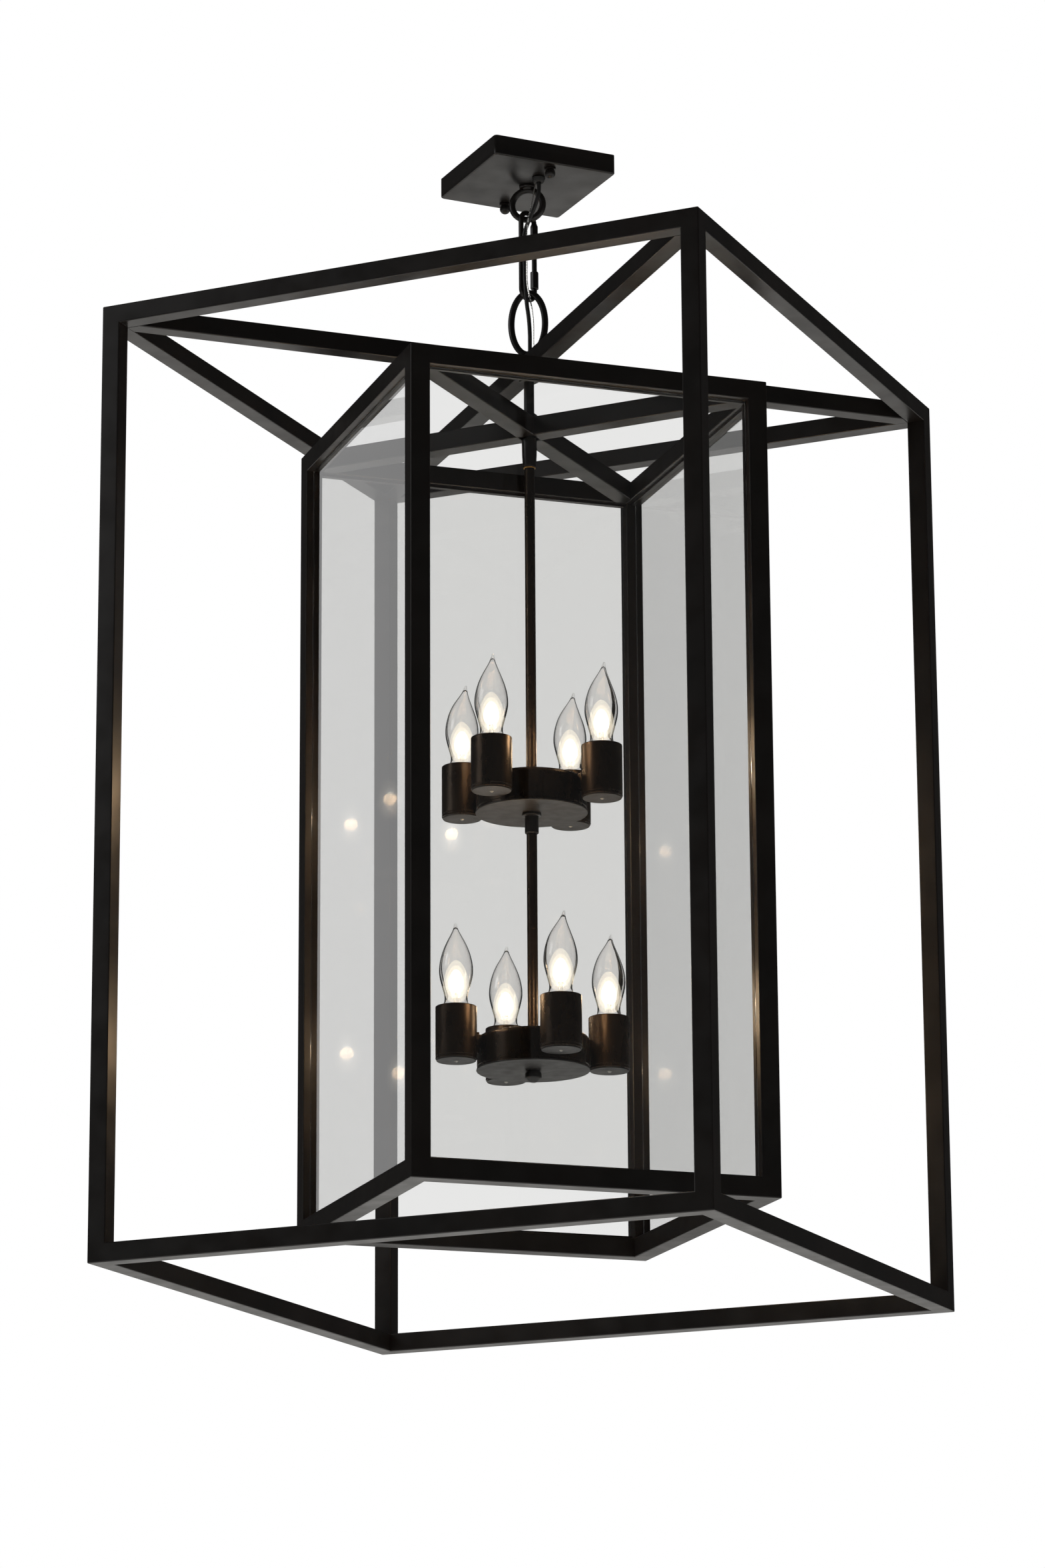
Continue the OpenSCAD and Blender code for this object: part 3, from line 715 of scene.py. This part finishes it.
class LANTERN_OT_chain(bpy.types.Operator):
    """Builds the ring on its collar, the quick link with its sleeve, and the oval loop"""
    bl_idname = "lantern.chain"
    bl_label = "Chain"

    def execute(self, context):
        sizes = context.scene.lantern_sizes
        self.ring(sizes.ring_wire)
        self.link(sizes.link_wire)
        self.loop(sizes.ring_wire)
        return {"FINISHED"}

    def upright_oval(self, width, height, centre_z, angle, steps):
        """Points around an upright oval that stands on the lantern's axis."""
        across = Vector((math.cos(angle), math.sin(angle), 0))
        return [across * width / 2 * math.cos(t) + Vector((0, 0, centre_z))
                + AXIS_Z * height / 2 * math.sin(t)
                for t in (math.tau * i / steps for i in range(steps))]

    def ring(self, wire):
        across = (high("canopy_ring").x - low("canopy_ring").x - wire) / math.cos(RING_TURN)
        centre_z = low("canopy_ring").z + wire / 2 + across / 2
        turn = self.upright_oval(across, across, centre_z, RING_TURN, 72)
        plate, top = low("canopy_pan").z / MM, high("canopy_ring").z / MM
        collar = [(0, plate), (7.4, plate), *arc((7.4, plate - 0.7), 0.7, 90, 0, 3),
                  *arc((7.4, plate - 1.7), 0.7, 0, -90, 3), (5.2, plate - 2.6),
                  (4.4, plate - 4.2), (0, plate - 4.4)]
        nipple = [(3.4, plate), (5, plate), (5, top), (3.4, top)]
        shape = gather(sweep(turn, wire / 2, 20, closed=True), lathe(collar, 48),
                       lathe(nipple, 40, closed=True, edge=0.3))
        enamelled("ring_on_collar", shape, "canopy", "canopy_ring")

    def link(self, wire):
        """A wire bent to a long link, thick where it is threaded, and its sleeve nut."""
        across = Vector((math.cos(LINK_TURN), math.sin(LINK_TURN), 0))
        sleeve = middle("link_sleeve")
        bend = Vector((sleeve.x, sleeve.y)).length
        top, foot = high("quick_link").z - wire / 2, low("quick_link").z + wire / 2
        path = []
        for start, centre_z in ((0, top - bend), (math.pi, foot + bend)):
            for i in range(25):
                t = start + math.pi * i / 24
                path.append(across * bend * math.cos(t)
                            + AXIS_Z * (centre_z + bend * math.sin(t)))
        limb = -bend * across
        upper, thread = top - bend + 1 * MM, 3.7 * MM
        shank = ((0, wire / 2), (3, thread), (30, thread), (33, wire / 2))
        thick = sweep([limb + AXIS_Z * (upper - down * MM) for down, r in shank],
                      [r for down, r in shank], 24)
        enamelled("bent_quick_link", gather(sweep(path, wire / 2, 20, closed=True), thick),
                  "quick_link", "quick_link")
        self.sleeve(limb)

    def sleeve(self, limb):
        lowest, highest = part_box("link_sleeve")
        tall = highest.z - lowest.z
        corner = 4.35 * MM
        shape = bmesh.new()
        bmesh.ops.create_cone(shape, cap_ends=True, segments=6, radius1=corner,
                              radius2=corner, depth=tall)
        soften(shape, 0.9 * MM, 3)
        place = turn_about_z(LINK_TURN, limb + AXIS_Z * (lowest.z + tall / 2))
        enamelled("threaded_sleeve", moved(shape, place), "link_sleeve", "link_sleeve")

    def loop(self, wire):
        lowest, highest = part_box("oval_loop")
        across = (highest.x - lowest.x - wire) / math.cos(RING_TURN)
        oval = self.upright_oval(across, highest.z - lowest.z - wire,
                                 (highest.z + lowest.z) / 2, RING_TURN, 96)
        enamelled("oval_hanging_loop", sweep(oval, wire / 2, 20, closed=True), "cage",
                  "oval_loop")


class LANTERN_OT_cords(bpy.types.Operator):
    """Lays the supply cord and the bare ground wire from the canopy down to the cage"""
    bl_idname = "lantern.cords"
    bl_label = "Cords"

    def execute(self, context):
        sizes, finish = context.scene.lantern_sizes, finishes()
        self.lay("supply_cord", CORD_ROUTE, sizes.cord, finish["pvc_jacket"],
                 "cord_jacket", 20)
        self.lay("ground_wire", GROUND_ROUTE, sizes.ground,
                 finish["tinned_copper_strands"], "tinned_wire", 10)
        return {"FINISHED"}

    def lay(self, node, route, diameter, material, slot, sides):
        """One cord in two pieces that meet halfway down the quick link, because each piece
        can bend at one joint only."""
        line = curve_through(route)
        cut = ROUTE_CUT * 4
        halves = {"upper": (line[:cut + 1], "canopy", "quick_link", LINK_PIVOT),
                  "lower": (line[cut:], "quick_link", "cage", CAGE_PIVOT)}
        for half, (points, above, below, pivot) in halves.items():
            made = piece(f"{node}_{half}", sweep(points, diameter / 2, sides,
                                                 start_side=Vector((1, 0, 0))),
                         material, replaces=[node])
            made.modifiers.clear()
            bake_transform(made)


# ---- stem, rods and clusters ----

class LANTERN_OT_stem(bpy.types.Operator):
    """Builds the stem with its nuts, the bell coupling, the rods and their collars"""
    bl_idname = "lantern.stem"
    bl_label = "Stem and rods"

    def execute(self, context):
        finish = finishes()
        self.nuts()
        self.bell(finish)
        self.rods()
        self.necks()
        dress(finish["satin_black_enamel"], "stem")
        dress(finish["zinc_plated_steel"], "drum_nipples")
        dress(finish["black_bushing"], "cage_bushing")
        return {"FINISHED"}

    def washer(self, radius, foot, thick):
        bore = outer_radius("stem")
        return lathe([(bore, foot), (radius, foot), (radius, foot + thick),
                      (bore, foot + thick)], 48, closed=True, edge=0.35)

    def hexagon(self, across, foot, thick):
        shape = bmesh.new()
        corner = across * MM / 2 / math.cos(math.pi / 6)
        bmesh.ops.create_cone(shape, cap_ends=True, segments=6, radius1=corner,
                              radius2=corner, depth=thick * MM)
        soften(shape, 0.6 * MM, 2)
        return moved(shape, Matrix.Translation((0, 0, (foot + thick / 2) * MM)))

    def nuts(self):
        """Washer and nut under the cage's cross and on the frame, and the loop's seat."""
        cage_top, frame_top = CAGE_HIGH.z / MM, FRAME_TOP / MM
        under = (CAGE_HIGH.z - CAGE_TUBE) / MM
        seat = [(0, cage_top - 1), (6.6, cage_top - 1), (6.6, cage_top + 0.6),
                *arc((5.4, cage_top + 0.9), 0.9, 0, 90, 4), (0, cage_top + 1.8)]
        shape = gather(self.washer(12, under - 1.4, 1.4), self.hexagon(17, under - 6.4, 5),
                       self.washer(9, frame_top + 0.3, 1.4),
                       self.hexagon(14, frame_top + 1.7, 4), lathe(seat, 48))
        enamelled("stem_washers_and_nuts", shape, "cage", "stem_nuts")

    def bell(self, finish):
        """A tapered socket, wider at the top, with a thin brass ring under it."""
        foot, top = heights("bell_coupling")
        wide, slim, bore = outer_radius("bell_coupling"), 6.4, 3
        outline = [(bore, top), *arc((wide - 1.2, top - 1.2), 1.2, 90, 10, 4),
                   (slim + 0.7, foot + 12), (slim + 0.15, foot + 2),
                   *arc((slim - 0.5, foot + 0.5), 0.5, 0, -90, 3), (bore, foot)]
        enamelled("bell_socket", lathe(outline, 56, closed=True), "cage", "bell_coupling")
        foot, top = heights("bell_seat_ring")
        radius = outer_radius("bell_seat_ring")
        seat = [(bore, top), (radius - 0.6, top),
                *arc((radius - 0.7, (foot + top) / 2), 0.7, 90, -90, 6), (bore, foot)]
        piece("brass_seat_ring", lathe(seat, 56, closed=True), finish["turned_brass"],
              "cage", ["bell_seat_ring"])

    def rods(self):
        for node in ("upper_rod", "lower_rod"):
            foot, top = heights(node)
            radius = outer_radius(node)
            outline = [(BORE, top), (radius, top), (radius, foot), (BORE, foot)]
            bronzed(f"{node}_tube", lathe(outline, 48, closed=True, edge=0.4), node)
        steps = [(4.9, 0), (5.9, 0), (5.9, 1.5), (5.7, 1.8), (5.9, 2.1), (5.9, 3.9),
                 (5.3, 4.5), (4.9, 4.5)]
        parts = []
        for drum in ("upper_drum", "lower_drum"):
            foot = high(drum).z / MM
            parts.append(lathe([(r, foot + z) for r, z in steps], 48, closed=True))
        bronzed("rod_locking_collars", gather(*parts), "rod_collars")

    def necks(self):
        """The flanged neck under the upper drum, and the finial under the lower one."""
        foot, top = heights("middle_neck")
        flange = outer_radius("middle_neck")
        outline = [(BORE, top), (flange - 0.4, top),
                   *arc((flange - 0.5, top - 0.6), 0.5, 60, 0, 3),
                   *arc((flange - 0.6, top - 2.2), 0.6, 0, -90, 3),
                   (6.8, top - 3.2), (6.6, top - 3.8), (6.6, foot + 0.8), (6, foot),
                   (BORE, foot)]
        enamelled("flanged_neck", lathe(outline, 56, closed=True), "cage", "middle_neck")
        foot, top = heights("finial")
        wide = outer_radius("finial")
        outline = [(0, top), (6.4, top), (6.6, top - 0.8),
                   *arc((wide - 1.6, top - 3), 1.6, 60, 0, 4),
                   *arc((wide - 2.4, top - 5.6), 2.4, 0, -55, 5),
                   *arc((2, foot + 1.6), 1.6, -40, -90, 3), (0, foot)]
        enamelled("turned_finial", lathe(outline, 48), "cage", "finial")


class LANTERN_OT_clusters(bpy.types.Operator):
    """Builds the drums with their covers, and the arms, cups, plates and screws"""
    bl_idname = "lantern.clusters"
    bl_label = "Clusters"

    def execute(self, context):
        sizes, finish = context.scene.lantern_sizes, finishes()
        for cluster, lamps in CLUSTERS.items():
            self.drum(cluster, sizes.drum_round / MM, finish)
            self.cups(cluster, lamps)
        self.arms()
        self.plates(finish)
        dress(finish["glazed_porcelain"], "lamp_sockets")
        return {"FINISHED"}

    def drum(self, cluster, turn, finish):
        """A spun cap with a rounded shoulder, closed by a flat cover with a small step."""
        node = f"{cluster}_drum"
        foot, top = heights(node)
        wide, wall = outer_radius(node), 1.2
        outline = [(BORE, top), *arc((wide - turn, top - turn), turn, 90, 0, 8),
                   (wide, foot + 2.6), (wide - 0.5, foot + 2.2), (wide - 0.5, foot + 0.1),
                   (wide - wall, foot + 0.1),
                   *arc((wide - turn, top - turn), turn - wall, 0, 90, 6),
                   (BORE, top - wall)]
        bronzed(f"{cluster}_drum_cap", lathe(outline, 96, closed=True), node)
        cover = f"{cluster}_drum_cover"
        foot, top = heights(cover)
        rim = outer_radius(cover)
        outline = [(BORE, top), (rim - 0.5, top), *arc((rim - 0.5, top - 0.5), 0.5, 90, 0, 3),
                   *arc((rim - 0.7, foot + 0.7), 0.7, 0, -90, 3), (BORE, foot)]
        piece(f"{cluster}_drum_plate", lathe(outline, 96, closed=True),
              finish["plate_enamel"], "cage", [cover])

    def cups(self, cluster, lamps):
        """Drawn cups with a thin rim and a rolled lip above the plate."""
        node = f"{cluster}_cups"
        foot, rim = heights(node)
        foot -= 1.4
        radius, wall = CUP_RADIUS, 1.2
        outline = [(radius - wall, rim - 0.4), (radius - wall / 2, rim),
                   (radius - 0.2, rim - 0.3), (radius, rim - 0.8), (radius, foot + 4.6),
                   (radius - 0.35, foot + 4.2), (radius - 0.35, foot + 3.6),
                   (radius, foot + 3.2), (radius, foot + 2.2),
                   *arc((radius - 0.9, foot + 2.2), 0.9, -20, -90, 4),
                   (radius - 2.2, foot + 1.4), (radius - 2.2, foot + 3),
                   (radius - wall, foot + 3.6)]
        parts = [(lathe(outline, 72, closed=True), self.stand(lamp)) for lamp in lamps]
        bronzed(f"{cluster}_lamp_cups", gather(*parts), node)

    def stand(self, lamp):
        """The place of a lamp's cup: its axis, turned to face the lantern's rod."""
        centre = middle(lamp)
        return turn_about_z(bearing(centre), (centre.x, centre.y, 0))

    def arms(self):
        """A short block from the drum, and an upright tab brazed against the cup."""
        parts = []
        for cluster, lamps in CLUSTERS.items():
            foot = low(f"{cluster}_drum_cover").z + CUP_LIFT * MM
            drum = outer_radius(f"{cluster}_drum")
            for lamp in lamps:
                centre = middle(lamp)
                reach = Vector((centre.x, centre.y)).length
                gap = reach - (drum + CUP_RADIUS) * MM
                neck = block((gap + 4 * MM, 10 * MM, 14 * MM), 0.8 * MM, Matrix.Translation(
                    (-CUP_RADIUS * MM - gap / 2, 0, foot + 19 * MM)))
                tab = block((3.2 * MM, 8 * MM, 20 * MM), 0.7 * MM, Matrix.Translation(
                    (-20.2 * MM, 0, foot + 18.5 * MM)))
                parts += [(neck, self.stand(lamp)), (tab, self.stand(lamp))]
        bronzed("cluster_arms", gather(*parts), "cup_arms")

    def plates(self, finish):
        """Bottom plates, and dome-headed screws."""
        plates, screws = [], []
        for cluster, lamps in CLUSTERS.items():
            foot = low(f"{cluster}_drum_cover").z / MM + CUP_LIFT
            rim, hole = 18.6, 1.3
            outline = [(hole, foot + 1.4), (rim, foot + 1.4),
                       *arc((rim - 0.5, foot + 0.5), 0.5, 0, -90, 3), (hole, foot)]
            dome = [(0, foot + 5), (hole, foot + 5), (hole, foot), (2, foot),
                    *arc((0, foot + 0.9), 2.15, -25, -90, 6)]
            for lamp in lamps:
                plates.append((lathe(outline, 64, closed=True), self.stand(lamp)))
                screws.append((lathe(dome, 24), self.stand(lamp)))
        piece("cup_bottom_plates", gather(*plates), finish["plate_enamel"], "cage",
              ["cup_plates"])
        piece("cup_plate_screws", gather(*screws), finish["zinc_plated_steel"], "cage",
              ["cup_screws"])


# ---- lamps ----

class LANTERN_OT_lamps(bpy.types.Operator):
    """Builds the eight lit candle lamps, each with glass, base, stem, filament and light"""
    bl_idname = "lantern.lamps"
    bl_label = "Lamps"

    def execute(self, context):
        sizes, finish = context.scene.lantern_sizes, finishes()
        for number, lamp in enumerate(ALL_LAMPS):
            centre = middle(lamp)
            rim = high(lamp).z - sizes.lamp_rise
            lean = math.radians(140 + 23 * number)
            place = turn_about_z(lean, (centre.x, centre.y, rim))
            self.envelope(lamp, place, sizes, finish)
            self.inside(lamp, place, finish)
            self.glow(lamp, place, finish)
            self.light(lamp, place)
        return {"FINISHED"}

    def envelope(self, lamp, place, sizes, finish):
        """A flame-shaped blown bulb on a short waist, its tip drawn out and bent over."""
        half = (high(lamp).x - low(lamp).x) / 2 / MM
        rise, wall = sizes.lamp_rise / MM, 0.9
        outer = [Vector((r, 0, z)) for r, z in (
            (12.2, -14), (12.8, -5), (12.3, 1), (10.9, 6), (11.1, 11), (13.2, 19),
            (15.4, 28), (half, 35), (15.2, 43), (12.9, 52), (9.5, 60.5), (6.0, 67.5),
            (3.3, 73), (1.8, 77.5), (1.0, rise))]
        line = curve_through(outer, 3)
        outline = [(0, line[0].z), *((p.x, p.z) for p in line), (0, rise)]
        inner = [(0, line[0].z + wall),
                 *((max(0.2, p.x - wall), p.z + wall) for p in line[:-5]),
                 (0, line[-5].z + wall)]
        hollow = lathe(inner, 48)
        bmesh.ops.reverse_faces(hollow, faces=hollow.faces)
        shape = gather(lathe(outline, 48), hollow)
        start = 54 * MM
        for v in shape.verts:
            along = max(0, v.co.z - start) / (sizes.lamp_rise - start)
            v.co.x += sizes.lamp_bend * (1.6 * along ** 2 - 0.6 * along ** 4)
        made = piece(f"{lamp}_bulb", moved(shape, place), finish["blown_lamp_glass"], lamp,
                     [lamp])
        made.visible_shadow = False

    def inside(self, lamp, place, finish):
        """Screw base, pressed glass stem, lead wires and the coiled filament."""
        base = [(0, -36), (2, -36), (3.4, -34.5)]
        for turn in range(5):
            z = -33 + 3.4 * turn
            base += [(5.4, z), (5.95, z + 0.8), (5.95, z + 1.6), (5.4, z + 2.4)]
        base += [(6, -15.6), (11.6, -14.2), (11.8, -12), (0, -12)]
        piece(f"{lamp}_screw_base", moved(lathe(base, 32), place), finish["turned_brass"],
              lamp)
        press = [(0, -11.5), (7.5, -11.5), (6.2, -6), (3.4, -1), (2.2, 4), (2, 11),
                 *arc((0, 12), 2.4, -20, 90, 5)]
        pressed = piece(f"{lamp}_glass_stem", moved(lathe(press, 24), place),
                        finish["blown_lamp_glass"], lamp)
        pressed.visible_shadow = False
        parts = []
        for way in (-1, 1):
            lead = [Vector(p) * MM for p in ((way * 1.2, 0, 12), (way * 3.2, 0, 17),
                                             (way * 5.6, 0, 23))]
            parts.append(sweep(curve_through(lead), 0.3 * MM, 6))
        piece(f"{lamp}_lead_wires", moved(gather(*parts), place),
              finish["zinc_plated_steel"], lamp)
        piece(f"{lamp}_filament", moved(self.coil(), place), finish["hot_filament"],
              lamp).modifiers.clear()

    def coil(self):
        """A fine helix that rises from each lead wire to a support between them."""
        turns, per_turn = 26, 8
        low_end, rise, reach = 23 * MM, 8 * MM, 5.6 * MM
        wide = 0.65 * MM
        points = []
        for i in range(turns * per_turn + 1):
            share = 2 * i / (turns * per_turn) - 1
            spin = math.pi * turns * (share + 1)
            points.append(Vector((reach * share, wide * math.sin(spin),
                                  low_end + rise * (1 - abs(share) ** 1.3)
                                  + wide * math.cos(spin))))
        return sweep(points, 0.26 * MM, 5)

    def glow(self, lamp, place, finish):
        """The bloom of light around the filament, as skins one inside another."""
        for name, skins in (("glow_core", ((4.4, 7.4), (7.2, 11.4))),
                            ("glow_halo", ((9.8, 15.5), (11.8, 20.5)))):
            parts = []
            for wide, tall in skins:
                skin = bmesh.new()
                bmesh.ops.create_icosphere(skin, subdivisions=4, radius=1)
                for v in skin.verts:
                    swell = 1 + 0.22 * v.co.z
                    v.co.x *= wide * MM / swell
                    v.co.y *= wide * MM / swell
                    v.co.z *= tall * MM
                parts.append((skin, Matrix.Translation((0, 0, LAMP_CENTRE))))
            made = piece(f"{lamp}_{name}", moved(gather(*parts), place), finish[name], lamp)
            made.modifiers.clear()
            made.visible_shadow = False
            made.visible_diffuse = False
            made.visible_glossy = False

    def light(self, lamp, place):
        shining = bpy.data.lights.new(f"{lamp}_light", "POINT")
        shining.energy = 0.34
        shining.shadow_soft_size = 7 * MM
        shining.color = bpy.context.scene.lantern_colours.glow
        made = bpy.data.objects.new(f"{lamp}_light", shining)
        bpy.context.scene.collection.objects.link(made)
        made.location = place @ Vector((0, 0, LAMP_CENTRE))
        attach(made, lamp)


# ---- studio ----

class LANTERN_OT_stage(bpy.types.Operator):
    """Sets the camera, a plain pale floor, a white surround and soft lights"""
    bl_idname = "lantern.stage"
    bl_label = "Stage"

    def execute(self, context):
        self.camera()
        self.surround()
        self.floor()
        self.panel("key_panel", (3.2, 2.6, 1.2), (1.6, 1.6), 24, (0, 0, -0.6))
        wash = self.panel("floor_wash", (0, 0, -1.25), (26, 26), 2500, (0, 0, FLOOR_Z))
        wash.visible_camera = False
        wash.visible_transmission = False
        wash.visible_glossy = False
        return {"FINISHED"}

    def camera(self):
        """A long lens from below, 4.7 m from the lantern's axis."""
        lens = bpy.data.cameras.new("camera")
        lens.sensor_width = 36
        lens.lens = 116.95
        lens.clip_end = 100
        made = bpy.data.objects.new("camera", lens)
        bpy.context.scene.collection.objects.link(made)
        heading, pitch, roll = (math.radians(a) for a in (HEADING, 15.030, -0.342))
        made.matrix_world = (Matrix.Translation((-1.9189, 4.2809, -1.8887))
                             @ Matrix.Rotation(heading - math.pi / 2, 4, "Z")
                             @ Matrix.Rotation(math.pi / 2 + pitch, 4, "X")
                             @ Matrix.Rotation(roll, 4, "Z"))
        bpy.context.scene.camera = made

    def surround(self):
        """White where a ray reaches it unreflected, also through glass. A sharp reflection
        finds it white behind the lantern and dark in front. Otherwise it is nearly dark."""
        scene = bpy.context.scene
        scene.view_settings.view_transform = "Standard"
        world = bpy.data.worlds.new("surround")
        scene.world = world
        world.use_nodes = True
        tree = world.node_tree
        tree.nodes.clear()
        away = math.radians(HEADING)
        ray = add(tree, "ShaderNodeLightPath")
        place = add(tree, "ShaderNodeTexCoord")
        towards = add(tree, "ShaderNodeVectorMath",
                      {"operation": "DOT_PRODUCT", 1: (math.cos(away), math.sin(away), 0)},
                      {0: place.outputs["Generated"]})
        backdrop = add(tree, "ShaderNodeMapRange",
                       {"From Min": -0.2, "From Max": 0.3, "To Min": 0.05, "To Max": 0.9},
                       {"Value": towards.outputs["Value"]})
        bounced = add(tree, "ShaderNodeMath", {"operation": "ADD"},
                      {0: ray.outputs["Diffuse Depth"], 1: ray.outputs["Glossy Depth"]})
        seen = add(tree, "ShaderNodeMath", {"operation": "LESS_THAN", 1: 0.5},
                   {0: bounced.outputs["Value"]})
        sharp = add(tree, "ShaderNodeMath", {"operation": "SUBTRACT", "use_clamp": True},
                    {0: ray.outputs["Is Singular Ray"],
                     1: ray.outputs["Is Transmission Ray"]})
        mirrored = add(tree, "ShaderNodeMath", {"operation": "MULTIPLY"},
                       {0: sharp.outputs["Value"], 1: backdrop.outputs["Result"]})
        bright = add(tree, "ShaderNodeMath", {"operation": "MAXIMUM"},
                     {0: seen.outputs["Value"], 1: mirrored.outputs["Value"]})
        strength = add(tree, "ShaderNodeMapRange", {"To Min": 0.03, "To Max": 1.0},
                       {"Value": bright.outputs["Value"]})
        white = add(tree, "ShaderNodeBackground", {"Color": (1, 1, 1, 1)},
                    {"Strength": strength.outputs["Result"]})
        add(tree, "ShaderNodeOutputWorld", None, {"Surface": white.outputs["Background"]})

    def floor(self):
        # Pale trowelled plaster, matt, with faint broad clouds.
        material = coated("pale_plaster", linear("e2e0dc"), linear("d8d6d1"), (0.7, 0.85),
                          0.9, 12 * MM, 0.3 * MM)
        shape = bmesh.new()
        bmesh.ops.create_grid(shape, x_segments=8, y_segments=8, size=9)
        moved(shape, Matrix.Translation((0, 0, FLOOR_Z)))
        floor = piece("pale_floor", shape, material)

    def panel(self, name, place, size, energy, aim):
        """A soft rectangular light that faces a point."""
        light = bpy.data.lights.new(name, "AREA")
        light.shape = "RECTANGLE"
        light.size, light.size_y = size
        light.energy = energy
        made = bpy.data.objects.new(name, light)
        bpy.context.scene.collection.objects.link(made)
        made.location = place
        towards = Vector(aim) - Vector(place)
        made.rotation_euler = towards.to_track_quat("-Z", "Y").to_euler()
        return made


# ---- panel in the sidebar, and the build ----

OPERATORS = (LANTERN_OT_stage, LANTERN_OT_cords, LANTERN_OT_canopy, LANTERN_OT_chain,
             LANTERN_OT_cage, LANTERN_OT_glazed_frame, LANTERN_OT_stem,
             LANTERN_OT_clusters, LANTERN_OT_lamps)


class LANTERN_PT_sidebar(bpy.types.Panel):
    """Lists the lantern's sizes, colours and pieces"""
    bl_idname = "LANTERN_PT_sidebar"
    bl_label = "Hanging Lantern"
    bl_space_type = "VIEW_3D"
    bl_region_type = "UI"
    bl_category = "Lantern"

    def draw(self, context):
        for group in (context.scene.lantern_sizes, context.scene.lantern_colours):
            box = self.layout.box()
            for name in group.__annotations__:
                box.prop(group, name)
        for operator in OPERATORS:
            self.layout.operator(operator.bl_idname)


CLASSES = (LanternSizes, LanternColours, *OPERATORS, LANTERN_PT_sidebar)


def register():
    for cls in CLASSES:
        bpy.utils.register_class(cls)
    bpy.types.Scene.lantern_sizes = bpy.props.PointerProperty(type=LanternSizes)
    bpy.types.Scene.lantern_colours = bpy.props.PointerProperty(type=LanternColours)


def unregister():
    del bpy.types.Scene.lantern_colours
    del bpy.types.Scene.lantern_sizes
    for cls in reversed(CLASSES):
        bpy.utils.unregister_class(cls)


def main():
    """Builds everything in order."""
    register()
    bpy.ops.lantern.stage()
    bpy.ops.lantern.cords()
    bpy.ops.lantern.canopy()
    bpy.ops.lantern.chain()
    bpy.ops.lantern.cage()
    bpy.ops.lantern.glazed_frame()
    bpy.ops.lantern.stem()
    bpy.ops.lantern.clusters()
    bpy.ops.lantern.lamps()


if __name__ == "__main__":
    main()
